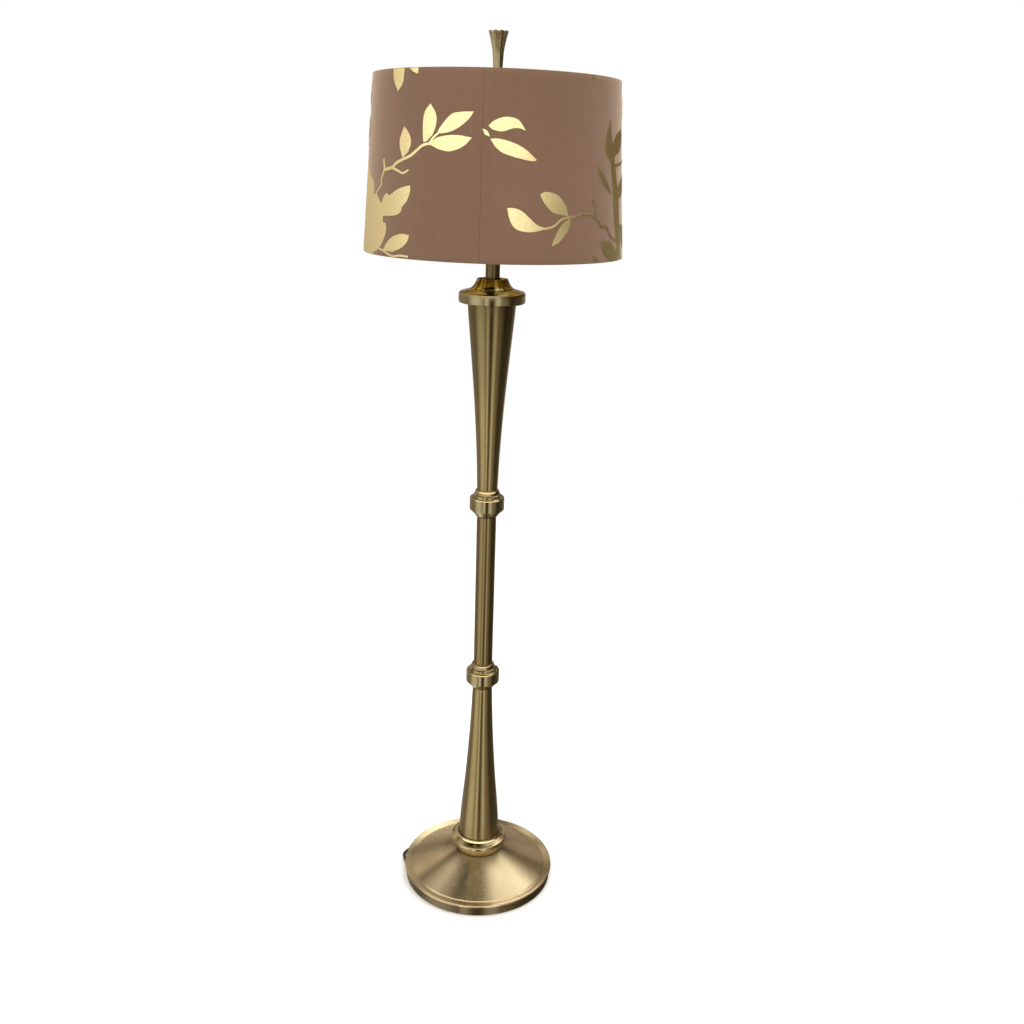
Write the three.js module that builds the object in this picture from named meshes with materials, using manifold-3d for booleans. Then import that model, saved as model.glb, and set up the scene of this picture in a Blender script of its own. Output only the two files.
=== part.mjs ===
// Column floor lamp with a drum shade, built as the pieces it comes apart into.
// Millimetres, +Z up. The origin is the centre of the base, on the floor.

import * as THREE from "three";
import { mergeVertices } from "three/addons/utils/BufferGeometryUtils.js";
import Module from "manifold-3d";

const wasm = await Module();
wasm.setup();

// ---------------------------------------------------------------- driving dimensions

const GAP = 0.3; // between pieces that touch
const WALL = 1.2; // spun brass

const FELT_HEIGHT = 2;
const BASE_RADIUS = 147.8;
const BASE_RIM_TOP = 24.9;
const BASE_TOP = 62;
const WEIGHT_RADIUS = 118;
const RECESS_RADIUS = 30; // room under the weight for the nut and the bend of the lead
const RECESS_TOP = 42;
const SLOT_WIDTH = 10; // lead channel through the weight
const SLOT_TOP = 12.5;

const LOWER_COLUMN_FOOT = 90.3;
const LOWER_COUPLING_BOTTOM = 415.5;
const UPPER_COUPLING_BOTTOM = 761;
const COUPLING_HEIGHT = 50.5;
const COUPLING_SPIGOT = 10;
const MIDDLE_RADIUS = 17.7;
const CAP_BOTTOM = 1146;
const CAP_RADIUS = 57.5;
const CONE_BOTTOM = 1170.3;
const NECK_SEAT = 1183.6;
const NECK_RADIUS = 12.3;
const NECK_TOP = 1246;

const ROD_RADIUS = 5.15; // 1/8 in lamp pipe
const ROD_BORE = 3.5;
const ROD_HOLE = 5.6;
const NUT_HOLE = 5.4;
const LOWER_ROD_BOTTOM = 34;
const UPPER_ROD_TOP = 1264;

const SADDLE_BOTTOM = 1250.6;
const SADDLE_THICKNESS = 1.6;
const HARP_LEG_X = 34.8;
const HARP_BULGE_X = 57;
const HARP_WIRE = 3.2; // diameter
const HARP_PLATE_TOP = 1484;
const STUD_RADIUS = 3.1; // 1/4 in threaded stud
const STUD_TOP = 1502;

const SOCKET_CENTRE = 1277; // height of the switch spindle
const SOCKET_BODY_TOP = 1287;
const BULB_BOTTOM = 1290.4;
const BULB_RADIUS = 30;
const BULB_WIDEST = 1364;
const BULB_TOP = 1400;

const SHADE_BOTTOM = 1229;
const SHADE_TOP = 1504.5;
const SHADE_BOTTOM_RADIUS = 217.5;
const SHADE_TOP_RADIUS = 200;
const SHADE_FABRIC = 1; // velvet and its backing
const SHADE_LINER = 1;
const SHADE_WIRE = 3; // diameter
const HUB_RADIUS = 11;
const HUB_BOTTOM = 1484.6;
const HUB_TOP = 1486.6;
const FINIAL_TOP = 1575;
const FINIAL_FLUTES = 10;

const CORD = 5.5; // diameter of the lead
const CORD_EXIT_ANGLE = 13; // degrees behind the left-most point of the base
const CORD_EXIT_SLANT = 60; // degrees from straight out, towards the back
const CORD_EXIT_HEIGHT = 8;
const RELIEF_INSIDE = 9;
const RELIEF_OUTSIDE = 17;
const HANK_START = 190; // where the straight runs of the folded lead begin and end, along Y
const HANK_END = 274;
const HANK_RADIUS = 28.5; // centreline of the widest turn
const HANK_FLOOR = 1.6; // the tie passes under it
const HANK_LAYERS = 3;
const TAIL_RADIUS = 20; // the last turn, on top of the hank, ends at the plug

// ---------------------------------------------------------------- materials

const finish = (color, roughness, metalness) => ({ color, roughness, metalness });
const ANTIQUE_BRASS = finish(0x8a7442, 0.35, 1);
const BASE_BRASS = finish(0xa08a64, 0.35, 1);
const POLISHED_BRASS = finish(0xa8822c, 0.15, 1);
const BRASS = finish(0xb5a15a, 0.3, 1);
const STEEL = finish(0x9a9a98, 0.4, 1);
const IRON = finish(0x3a3a3c, 0.8, 0.6);
const FELT = finish(0x16161a, 1, 0);
const BLACK_RUBBER = finish(0x111113, 0.55, 0);
const PHENOLIC = finish(0x1c1512, 0.35, 0);
const PAPERBOARD = finish(0x8f7a5c, 0.9, 0);
const VELVET = finish(0x86664f, 0.95, 0);
const LINER = finish(0xb48c48, 0.4, 0.8);
const WHITE_WIRE = finish(0xd8d8d4, 0.4, 0.3);
const GLASS = finish(0xf6f3ea, 0.3, 0);

// ---------------------------------------------------------------- shape helpers

const lamp = new THREE.Group();
lamp.name = "floor_lamp";

function section(name) {
  const group = new THREE.Group();
  group.name = name;
  lamp.add(group);
  return group;
}

function add(group, name, geometry, look) {
  const mesh = new THREE.Mesh(geometry, new THREE.MeshStandardMaterial(look));
  mesh.name = name;
  group.add(mesh);
  return mesh;
}

/** A solid turned about Z. The outline is [radius, height] pairs, anticlockwise. */
function turned(outline, segments) {
  const points = outline.map(([r, z]) => new THREE.Vector2(r, z));
  if (outline[0][0] > 0) {
    points.push(points[0].clone());
  }
  return new THREE.LatheGeometry(points, segments).rotateX(Math.PI / 2);
}

/** A straight ring or pipe about Z. */
function ring(inner, outer, bottom, top, segments) {
  return turned([[inner, bottom], [outer, bottom], [outer, top], [inner, top]], segments);
}

/** A disc about Z. */
function disc(radius, bottom, top, segments) {
  return turned([[0, bottom], [radius, bottom], [radius, top], [0, top]], segments);
}

/** [radius, height] pairs on a smooth curve through a few of them. */
function smoothOutline(knots, steps) {
  const curve = new THREE.SplineCurve(knots.map(([r, z]) => new THREE.Vector2(r, z)));
  return curve.getPoints(steps).map((p) => [p.x, p.y]);
}

/** A thin spun tube whose outside follows a smooth curve through the knots. */
function spunTube(knots, wall, steps, segments) {
  const outside = smoothOutline(knots, steps);
  const inside = outside.map(([r, z]) => [r - wall, z]).reverse();
  return turned([...outside, ...inside], segments);
}

/** A round tube along a smooth curve through points. */
function tube(points, diameter, sides, steps) {
  const circle = new THREE.Shape();
  circle.absarc(0, 0, diameter / 2, 0, 2 * Math.PI);
  const vectors = points.map((p) => new THREE.Vector3(...p));
  const extrudePath = new THREE.CatmullRomCurve3(vectors, false, "catmullrom");
  const settings = { steps, extrudePath, bevelEnabled: false, curveSegments: sides / 2 };
  return new THREE.ExtrudeGeometry(circle, settings);
}

/** A six-sided nut about Z, with a round hole. */
function nut(acrossFlats, bottom, top) {
  const corner = acrossFlats / Math.sqrt(3);
  const shape = new THREE.Shape();
  for (let i = 0; i < 6; i += 1) {
    const angle = (i * Math.PI) / 3;
    const point = [corner * Math.cos(angle), corner * Math.sin(angle)];
    if (i === 0) {
      shape.moveTo(...point);
    } else {
      shape.lineTo(...point);
    }
  }
  shape.holes.push(new THREE.Path().absarc(0, 0, NUT_HOLE, 0, 2 * Math.PI, true));
  const settings = { depth: top - bottom, bevelEnabled: false, curveSegments: 8 };
  return new THREE.ExtrudeGeometry(shape, settings).translate(0, 0, bottom);
}

function box(low, high) {
  const size = high.map((value, i) => value - low[i]);
  const centre = high.map((value, i) => (value + low[i]) / 2);
  return new THREE.BoxGeometry(...size).translate(...centre);
}

/** A solid turned about its own axis, laid from a start point along a direction. */
function laidAlong(geometry, start, direction) {
  const up = new THREE.Vector3(0, 0, 1);
  const turn = new THREE.Quaternion().setFromUnitVectors(up, direction.clone().normalize());
  return geometry.applyQuaternion(turn).translate(start.x, start.y, start.z);
}

function toSolid(geometry) {
  const plain = geometry.clone();
  plain.deleteAttribute("normal");
  plain.deleteAttribute("uv");
  const merged = mergeVertices(plain, 1e-3);
  return new wasm.Manifold(
    new wasm.Mesh({
      numProp: 3,
      vertProperties: merged.attributes.position.array,
      triVerts: new Uint32Array(merged.index.array),
    }),
  );
}

function toGeometry(solid) {
  const mesh = solid.getMesh();
  const geometry = new THREE.BufferGeometry();
  geometry.setAttribute("position", new THREE.BufferAttribute(mesh.vertProperties, 3));
  geometry.setIndex(new THREE.BufferAttribute(mesh.triVerts, 1));
  geometry.computeVertexNormals();
  return geometry;
}

function cut(geometry, ...tools) {
  const start = toSolid(geometry);
  return toGeometry(tools.reduce((solid, tool) => solid.subtract(toSolid(tool)), start));
}

function joined(geometry, ...others) {
  const start = toSolid(geometry);
  return toGeometry(others.reduce((solid, other) => solid.add(toSolid(other)), start));
}

const radians = THREE.MathUtils.degToRad;

// ---------------------------------------------------------------- where the lead leaves the base

const exitAngle = radians(CORD_EXIT_ANGLE);
const exitOutward = new THREE.Vector3(-Math.cos(exitAngle), Math.sin(exitAngle), 0);
const exitBackward = new THREE.Vector3(Math.sin(exitAngle), Math.cos(exitAngle), 0);
const exitDirection = exitOutward
  .clone()
  .multiplyScalar(Math.cos(radians(CORD_EXIT_SLANT)))
  .addScaledVector(exitBackward, Math.sin(radians(CORD_EXIT_SLANT)));
const exitPoint = exitOutward.clone().multiplyScalar(BASE_RADIUS - 3).setZ(CORD_EXIT_HEIGHT);

/** A point on the axis of the strain relief, so far out from the wall. */
function alongExit(distance) {
  return exitPoint.clone().addScaledVector(exitDirection, distance);
}

// ---------------------------------------------------------------- base

function baseShell() {
  const outside = [
    [144.8, 2.3],
    [145.2, 18.4],
    [147.3, 20],
    [BASE_RADIUS, 21.8],
    [147.2, 24],
    [145.6, BASE_RIM_TOP],
    [141, 24.3],
    [136.3, 22.8],
    [134.6, 21.9],
    [133.2, 22.3],
    [131.6, 24],
    [47.6, BASE_TOP],
    [ROD_HOLE, BASE_TOP],
  ];
  const inside = [
    [ROD_HOLE, BASE_TOP - WALL],
    [47.2, BASE_TOP - WALL],
    [131.2, 22.6],
    [133.4, 20.6],
    [136, 20.8],
    [141, 22.8],
    [145, 23.3],
    [146.2, 22],
    [144, 19.2],
    [143.6, 2.3],
  ];
  const leadHole = laidAlong(disc(4.5, 0, 44, 16), alongExit(-14), exitDirection);
  return cut(turned([...outside, ...inside], 36), leadHole);
}

function baseWeight() {
  const bottom = FELT_HEIGHT + GAP;
  const bossTop = BASE_TOP - WALL - GAP;
  const casting = turned(
    [
      [RECESS_RADIUS, bottom],
      [WEIGHT_RADIUS, bottom],
      [WEIGHT_RADIUS, 18],
      [41, 18],
      [38, 21],
      [38, bossTop],
      [ROD_HOLE, bossTop],
      [ROD_HOLE, RECESS_TOP],
      [RECESS_RADIUS, RECESS_TOP],
    ],
    28,
  );
  const half = SLOT_WIDTH / 2;
  const slot = box([-WEIGHT_RADIUS - 5, -half, 0], [-RECESS_RADIUS + 5, half, SLOT_TOP]);
  return cut(casting, slot);
}

function baseCollar() {
  const bottom = BASE_TOP + GAP;
  return turned(
    [
      [ROD_HOLE, bottom],
      [46.6, bottom],
      [49.5, 66.5],
      [53, 72.4],
      [55, 78.6],
      [55.4, 82.6],
      [54.4, 86.4],
      [51.8, 88],
      [50, 88.2],
      [45, 91],
      [42.2, 95.8],
      [40.4, 95.8],
      [40.4, 90],
      [36.5, 90],
      [36.5, 87.6],
      [48.6, 85.6],
      [52, 82.2],
      [50.4, 75],
      [44, 65.3],
      [ROD_HOLE, 65.3],
    ],
    28,
  );
}

function strainRelief() {
  const total = RELIEF_INSIDE + RELIEF_OUTSIDE;
  const body = turned(
    [
      [0, 0],
      [4.2, 0],
      [4.2, RELIEF_INSIDE + 4],
      [3.2, total],
      [0, total],
    ],
    12,
  );
  return laidAlong(body, alongExit(-RELIEF_INSIDE), exitDirection);
}

const base = section("base");
add(base, "base_felt", ring(RECESS_RADIUS, 142.5, 0, FELT_HEIGHT, 40), FELT);
add(base, "base_weight", baseWeight(), IRON);
add(base, "base_shell", baseShell(), BASE_BRASS);
add(base, "base_collar", baseCollar(), ANTIQUE_BRASS);
add(base, "base_washer", ring(NUT_HOLE, 13, RECESS_TOP - 1.8, RECESS_TOP - GAP, 16), STEEL);
add(base, "base_locknut", nut(16, RECESS_TOP - 6, RECESS_TOP - 2.1), STEEL);
add(base, "strain_relief", strainRelief(), BLACK_RUBBER);

// ---------------------------------------------------------------- column

/** A hollow ring with a step at each end, between two lengths of the column. */
function coupling(bottom, lowerSpigot, upperSpigot) {
  const outline = [
    [14.6, -COUPLING_SPIGOT],
    [lowerSpigot, -COUPLING_SPIGOT],
    [lowerSpigot, 0],
    [18.7, 0],
    [24.2, 7.4],
    [30.4, 13.2],
    [31.4, 14.6],
    [31.4, 35.2],
    [30.6, 36.8],
    [27, 36.2],
    [25.4, 37],
    [25, 41.4],
    [23, 43.4],
    [22.2, 47.4],
    [20.6, COUPLING_HEIGHT],
    [upperSpigot, COUPLING_HEIGHT],
    [upperSpigot, COUPLING_HEIGHT + COUPLING_SPIGOT],
    [14, COUPLING_HEIGHT + COUPLING_SPIGOT],
    [14, 47],
    [23, 37],
    [29, 34.4],
    [29, 15.6],
    [22.6, 9],
    [14.6, 3],
  ];
  return turned(outline.map(([r, z]) => [r, z + bottom]), 20);
}

function lowerColumn() {
  const knots = [
    [39.9, LOWER_COLUMN_FOOT],
    [37, 138],
    [32.1, 193],
    [27.6, 247],
    [23.9, 301],
    [21, 354],
    [18.6, LOWER_COUPLING_BOTTOM - GAP],
  ];
  return spunTube(knots, WALL, 8, 24);
}

function upperColumn() {
  const knots = [
    [18.4, UPPER_COUPLING_BOTTOM + COUPLING_HEIGHT + GAP],
    [20.7, 877],
    [26.1, 965],
    [33.3, 1050],
    [39.3, 1115],
    [41.3, 1140],
    [41.4, 1166],
  ];
  return spunTube(knots, WALL, 9, 24);
}

function capFlange() {
  return turned(
    [
      [41.9, CAP_BOTTOM],
      [54.6, CAP_BOTTOM],
      [56.7, 1147.1],
      [CAP_RADIUS, 1149.4],
      [CAP_RADIUS, 1160.6],
      [56.8, 1163.4],
      [54.6, 1165.4],
      [48, 1167.2],
      [38.2, CONE_BOTTOM - GAP],
      [ROD_HOLE, CONE_BOTTOM - GAP],
      [ROD_HOLE, 1168.2],
      [38, 1168.2],
      [47.6, 1165.4],
      [54, 1163.4],
      [55.6, 1160],
      [55.6, 1149.8],
      [54.2, 1147.8],
      [41.9, 1147.8],
    ],
    24,
  );
}

function capCone() {
  return turned(
    [
      [37.6, CONE_BOTTOM],
      [33.2, 1174],
      [29.2, 1180.2],
      [27.2, 1184.8],
      [26.6, 1186.8],
      [25, 1186.8],
      [24.8, NECK_SEAT],
      [ROD_HOLE, NECK_SEAT],
      [ROD_HOLE, 1182.2],
      [26, 1182.2],
      [27.4, 1179.4],
      [31.6, 1173],
      [35, CONE_BOTTOM],
    ],
    20,
  );
}

const column = section("column");
const middleBottom = LOWER_COUPLING_BOTTOM + COUPLING_HEIGHT + GAP;
const middleTop = UPPER_COUPLING_BOTTOM - GAP;
add(column, "lower_column", lowerColumn(), ANTIQUE_BRASS);
add(column, "lower_coupling", coupling(LOWER_COUPLING_BOTTOM, 17, 16.1), ANTIQUE_BRASS);
add(
  column,
  "middle_column",
  ring(MIDDLE_RADIUS - WALL, MIDDLE_RADIUS, middleBottom, middleTop, 24),
  ANTIQUE_BRASS,
);
add(column, "upper_coupling", coupling(UPPER_COUPLING_BOTTOM, 16.1, 16.8), ANTIQUE_BRASS);
add(column, "upper_column", upperColumn(), ANTIQUE_BRASS);
add(column, "cap_flange", capFlange(), ANTIQUE_BRASS);
add(column, "cap_cone", capCone(), POLISHED_BRASS);
add(
  column,
  "neck_tube",
  ring(NECK_RADIUS - WALL, NECK_RADIUS, NECK_SEAT + GAP, NECK_TOP, 24),
  ANTIQUE_BRASS,
);
add(column, "neck_plate", ring(ROD_HOLE, 13.2, NECK_TOP + GAP, SADDLE_BOTTOM - GAP, 24), BRASS);

// The pipes that the lead runs in clamp the whole column together. They meet inside the couplings.
const rodJoints = [LOWER_COUPLING_BOTTOM, UPPER_COUPLING_BOTTOM].map((z) => z + 25);
const rodEnds = [LOWER_ROD_BOTTOM, ...rodJoints, UPPER_ROD_TOP];
["lower_rod", "middle_rod", "upper_rod"].forEach((name, i) => {
  const pipe = ring(ROD_BORE, ROD_RADIUS, rodEnds[i], rodEnds[i + 1] - GAP, 12);
  add(column, name, pipe, STEEL);
});
["lower_rod_coupler", "upper_rod_coupler"].forEach((name, i) => {
  const sleeve = ring(NUT_HOLE, 8, rodJoints[i] - 13, rodJoints[i] + 13, 12);
  add(column, name, sleeve, STEEL);
});

/** The lead inside the lamp: across the base, round a bend and up through the pipes. */
function innerCord() {
  const start = alongExit(-RELIEF_INSIDE - GAP);
  const route = [
    [start.x, start.y, start.z],
    [-135, 13, 8],
    [-128, 4.4, 8],
    [-116, 0.4, 8],
    [-96, 0, 7.6],
    [-60, 0, 7.4],
    [-32, 0, 7.4],
    [-17, 0, 9.6],
    [-5.6, 0, 17],
    [-0.4, 0, 29],
    [0, 0, 44],
  ];
  const riser = disc(CORD / 2, 40, SOCKET_CENTRE - 10, 8);
  return joined(tube(route, CORD, 8, 24), riser);
}

add(column, "inner_cord", innerCord(), BLACK_RUBBER);

// ---------------------------------------------------------------- lamp holder and bulb

function harpSaddle() {
  const top = SADDLE_BOTTOM + SADDLE_THICKNESS;
  const tip = SADDLE_BOTTOM + 6.8;
  const strip = new THREE.Shape([
    new THREE.Vector2(-25, SADDLE_BOTTOM),
    new THREE.Vector2(25, SADDLE_BOTTOM),
    new THREE.Vector2(32.8, tip - 1.2),
    new THREE.Vector2(32.8, tip),
    new THREE.Vector2(31.2, tip),
    new THREE.Vector2(24.4, top),
    new THREE.Vector2(-24.4, top),
    new THREE.Vector2(-31.2, tip),
    new THREE.Vector2(-32.8, tip),
    new THREE.Vector2(-32.8, tip - 1.2),
  ]);
  const settings = { depth: 12, bevelEnabled: false };
  const bar = new THREE.ExtrudeGeometry(strip, settings).rotateX(Math.PI / 2).translate(0, 6, 0);
  const tabs = [-32, 32].map((x) => box([x - 0.8, -2.4, tip - 1], [x + 0.8, 2.4, tip + 11]));
  return cut(joined(bar, ...tabs), disc(NUT_HOLE, SADDLE_BOTTOM - 1, top + 1, 16));
}

/** The bent wire that carries the shade, with the plate at its top. */
function harp() {
  const leg = SADDLE_BOTTOM + 8.2;
  const side = [
    [HARP_LEG_X, 0, leg],
    [HARP_LEG_X, 0, leg + 14],
    [HARP_LEG_X, 0, leg + 28],
    [42, 0, leg + 50],
    [53, 0, leg + 80],
    [HARP_BULGE_X, 0, leg + 112],
    [54, 0, leg + 150],
    [43, 0, leg + 188],
    [26, 0, leg + 214],
    [12, 0, HARP_PLATE_TOP - 3.4],
  ];
  const mirrored = side.map(([x, y, z]) => [-x, y, z]).reverse();
  const wire = tube([...side, ...mirrored], HARP_WIRE, 6, 40);
  return joined(wire, disc(9, HARP_PLATE_TOP - 4, HARP_PLATE_TOP, 16));
}

function harpSleeve(side) {
  const bottom = SADDLE_BOTTOM + 7.8;
  const barrel = turned(
    [
      [4.6, bottom],
      [6.4, bottom],
      [6.4, bottom + 2],
      [5.6, bottom + 3],
      [5.6, bottom + 11],
      [5.2, bottom + 12],
      [4.6, bottom + 12],
    ],
    12,
  );
  return barrel.translate(side * 34, 0, 0);
}

const spindleHole = (from, to) =>
  laidAlong(
    disc(3, 0, to - from, 12),
    new THREE.Vector3(0, -from, SOCKET_CENTRE),
    new THREE.Vector3(0, -1, 0),
  );

function socketCap() {
  return turned(
    [
      [5.45, 1256.8],
      [8.6, 1256.8],
      [9.4, 1259.6],
      [15.4, 1261.4],
      [17.4, 1265.4],
      [17.4, 1271.2],
      [16.5, 1271.2],
      [16.5, 1266],
      [15, 1262.8],
      [9.2, 1261.2],
      [8.2, 1266],
      [5.45, 1266],
    ],
    16,
  );
}

/** An egg-ended glass bulb, open at the neck. */
function bulbGlass() {
  const outside = smoothOutline(
    [
      [13.4, 1317],
      [19.5, 1334],
      [27.4, 1350],
      [BULB_RADIUS, BULB_WIDEST],
      [26.6, 1382],
      [16.5, 1394.6],
      [0, BULB_TOP],
    ],
    8,
  );
  const glass = 0.8;
  const inside = outside
    .slice(0, -1)
    .map(([r, z]) => [r - glass, z > BULB_WIDEST ? z - glass : z])
    .reverse();
  const neckInside = [[10.9, 1313.4], [10.9, 1299]];
  const neckOutside = [[11.7, 1299], [11.7, 1313.4]];
  const crown = [0, BULB_TOP - glass];
  return turned([crown, ...inside, ...neckInside, ...neckOutside, ...outside], 16);
}

function bulbBase() {
  return turned(
    [
      [0, 1291.9],
      [4.8, 1291.9],
      [12.7, 1296.4],
      [12.7, 1313],
      [12, 1313],
      [12, 1297],
      [4.6, 1292.8],
      [0, 1292.8],
    ],
    16,
  );
}

const holder = section("lamp_holder");
add(holder, "harp_saddle", harpSaddle(), BRASS);
add(holder, "saddle_nut", nut(15, SADDLE_BOTTOM + 1.9, SADDLE_BOTTOM + 5.9), BRASS);
add(holder, "harp", harp(), BRASS);
add(holder, "harp_stud", disc(STUD_RADIUS, HARP_PLATE_TOP + GAP, STUD_TOP, 16), BRASS);
add(holder, "harp_sleeve_left", harpSleeve(-1), BRASS);
add(holder, "harp_sleeve_right", harpSleeve(1), BRASS);
add(holder, "socket_cap", socketCap(), BRASS);
add(holder, "socket_shell", cut(ring(15.3, 16.1, 1266.6, 1308, 16), spindleHole(12, 20)), BRASS);
add(
  holder,
  "socket_insulator",
  cut(ring(14.4, 15, 1267.6, 1307, 16), spindleHole(12, 20)),
  PAPERBOARD,
);
add(holder, "socket_body", disc(14, SOCKET_CENTRE - 9.5, SOCKET_BODY_TOP, 16), PHENOLIC);
add(
  holder,
  "socket_screw_shell",
  turned(
    [
      [5, SOCKET_BODY_TOP + GAP],
      [13.8, SOCKET_BODY_TOP + GAP],
      [13.8, 1305],
      [13.2, 1305],
      [13.2, 1288],
      [5, 1288],
    ],
    20,
  ),
  BRASS,
);
add(holder, "centre_contact", disc(3.5, SOCKET_BODY_TOP + GAP, BULB_BOTTOM - 0.4, 12), BRASS);
add(
  holder,
  "switch_spindle",
  laidAlong(
    disc(2, 0, 15.4, 12),
    new THREE.Vector3(0, -14.3, SOCKET_CENTRE),
    new THREE.Vector3(0, -1, 0),
  ),
  BRASS,
);
add(
  holder,
  "switch_knob",
  laidAlong(
    turned([[0, 0], [4.6, 0], [6.2, 2.6], [6.2, 11.4], [5.4, 13], [0, 13]], 16),
    new THREE.Vector3(0, -30, SOCKET_CENTRE),
    new THREE.Vector3(0, -1, 0),
  ),
  PHENOLIC,
);
add(holder, "bulb_contact", disc(4.4, BULB_BOTTOM, 1291.6, 12), STEEL);
add(holder, "bulb_base", bulbBase(), STEEL);
add(holder, "bulb_glass", bulbGlass(), GLASS);

// ---------------------------------------------------------------- shade

/** The outside radius of the shade at a height. */
function shadeRadius(z) {
  const share = (z - SHADE_BOTTOM) / (SHADE_TOP - SHADE_BOTTOM);
  return SHADE_BOTTOM_RADIUS + share * (SHADE_TOP_RADIUS - SHADE_BOTTOM_RADIUS);
}

/** One layer of the tapered drum, so far in from the outside. */
function shadeLayer(inset, thickness, margin) {
  const bottom = SHADE_BOTTOM + margin;
  const top = SHADE_TOP - margin;
  return turned(
    [
      [shadeRadius(bottom) - inset - thickness, bottom],
      [shadeRadius(bottom) - inset, bottom],
      [shadeRadius(top) - inset, top],
      [shadeRadius(top) - inset - thickness, top],
    ],
    48,
  );
}

const linerInset = SHADE_FABRIC + GAP;
const wireInset = linerInset + SHADE_LINER + GAP + SHADE_WIRE / 2 + 0.3;
const wireTop = SHADE_TOP - 2.2;
const wireBottom = SHADE_BOTTOM + 2.2;

function wireRing(z) {
  const radius = shadeRadius(z) - wireInset;
  return new THREE.TorusGeometry(radius, SHADE_WIRE / 2, 6, 40).translate(0, 0, z);
}

/** One wire arm from the hub out to the top ring, at an angle about Z. */
function spiderArm(angle) {
  const outer = shadeRadius(wireTop) - wireInset - SHADE_WIRE / 2 - 1.8;
  const middle = (HUB_BOTTOM + HUB_TOP) / 2;
  const route = [
    [HUB_RADIUS + GAP, middle],
    [60, middle],
    [120, middle + 0.2],
    [160, middle + 1.4],
    [180, middle + 8],
    [outer, wireTop - 0.2],
  ];
  const points = route.map(([r, z]) => [r, 0, z]);
  return tube(points, SHADE_WIRE, 6, 9).rotateZ(radians(angle));
}

/** The flared top of the finial, with flutes that deepen upwards and scallop its edge. */
function finial() {
  const stem = 1500;
  const geometry = turned(
    [
      [0, 1504],
      [5.5, 1504],
      [5.5, HUB_TOP + GAP],
      [9.2, HUB_TOP + GAP],
      [10, 1488.6],
      [9.2, 1491],
      [7.4, 1495],
      [7, 1504],
      [7.7, 1519],
      [8.4, 1533],
      [9.2, 1544],
      [11.2, 1555],
      [13.6, 1565],
      [16.2, 1573.6],
      [15.6, FINIAL_TOP - 0.6],
      [11, 1573.4],
      [0, 1572.4],
    ],
    FINIAL_FLUTES * 4,
  );
  const place = geometry.attributes.position;
  for (let i = 0; i < place.count; i += 1) {
    const x = place.getX(i);
    const y = place.getY(i);
    const z = place.getZ(i);
    const grown = THREE.MathUtils.clamp((z - stem) / (FINIAL_TOP - stem), 0, 1);
    const wave = Math.cos(FINIAL_FLUTES * Math.atan2(y, x));
    const reach = Math.hypot(x, y) > 12 ? 1 : 0;
    const scale = 1 + 0.045 * grown * (wave - 1);
    place.setXYZ(i, x * scale, y * scale, z + 0.6 * reach * wave);
  }
  return geometry;
}

const shade = section("shade");
add(shade, "shade_fabric", shadeLayer(0, SHADE_FABRIC, 0), VELVET);
add(shade, "shade_liner", shadeLayer(linerInset, SHADE_LINER, 0.5), LINER);
add(shade, "shade_top_ring", wireRing(wireTop), WHITE_WIRE);
add(shade, "shade_bottom_ring", wireRing(wireBottom), WHITE_WIRE);
add(shade, "spider_hub", ring(STUD_RADIUS + 0.5, HUB_RADIUS, HUB_BOTTOM, HUB_TOP, 20), BRASS);
[90, 210, 330].forEach((angle, i) => {
  add(shade, `spider_arm_${i + 1}`, spiderArm(angle), WHITE_WIRE);
});
add(shade, "finial", finial(), ANTIQUE_BRASS);
add(shade, "finial_insert", ring(STUD_RADIUS + GAP, 5.2, HUB_TOP + 0.6, 1498, 12), BRASS);

// ---------------------------------------------------------------- free lead, hank and plug

/** The lead from the strain relief, round the back of the base, to the hank behind it. */
function cordLead() {
  const tip = alongExit(RELIEF_OUTSIDE + GAP);
  const route = [
    [tip.x, tip.y, tip.z],
    [-148.2, 55.6, 7.3],
    [-149.3, 63, 6],
    [-148.6, 72, 4.4],
    [-145.6, 81.5, 3.2],
    [-140.6, 91, 2.9],
    [-124.9, 106, 2.9],
    [-107.1, 119.5, 2.9],
    [-89.2, 132.2, 2.9],
    [-70.1, 143.8, 2.9],
    [-52.4, 152.2, 2.9],
    [-39.8, 160.6, 3.2],
    [-31.4, 171.6, 3.6],
  ];
  return tube(route, CORD, 8, 22);
}

/** A flat outline with round ends, about the hank's two straight runs. */
function stadium(radius) {
  const shape = new THREE.Shape();
  shape.absarc(0, HANK_START, radius, Math.PI, 2 * Math.PI);
  shape.absarc(0, HANK_END, radius, 0, Math.PI);
  shape.closePath();
  return shape;
}

const hankEdge = HANK_RADIUS + CORD / 2;
const hankTop = HANK_FLOOR + HANK_LAYERS * CORD;

function cordHank() {
  const settings = { depth: hankTop - HANK_FLOOR, bevelEnabled: false, curveSegments: 8 };
  return new THREE.ExtrudeGeometry(stadium(hankEdge), settings).translate(0, 0, HANK_FLOOR);
}

/** A strap round the middle of the hank. */
function hankTie() {
  const clear = 0.35;
  const strap = 1;
  const from = 205;
  const to = 213;
  const inside = box(
    [-hankEdge - clear, from - 1, HANK_FLOOR - clear],
    [hankEdge + clear, to + 1, hankTop + clear],
  );
  const outside = box(
    [-hankEdge - clear - strap, from, HANK_FLOOR - clear - strap],
    [hankEdge + clear + strap, to, hankTop + clear + strap],
  );
  return cut(outside, inside);
}

const plugBottom = hankTop + GAP;
const plugMiddle = plugBottom + 8;

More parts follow.
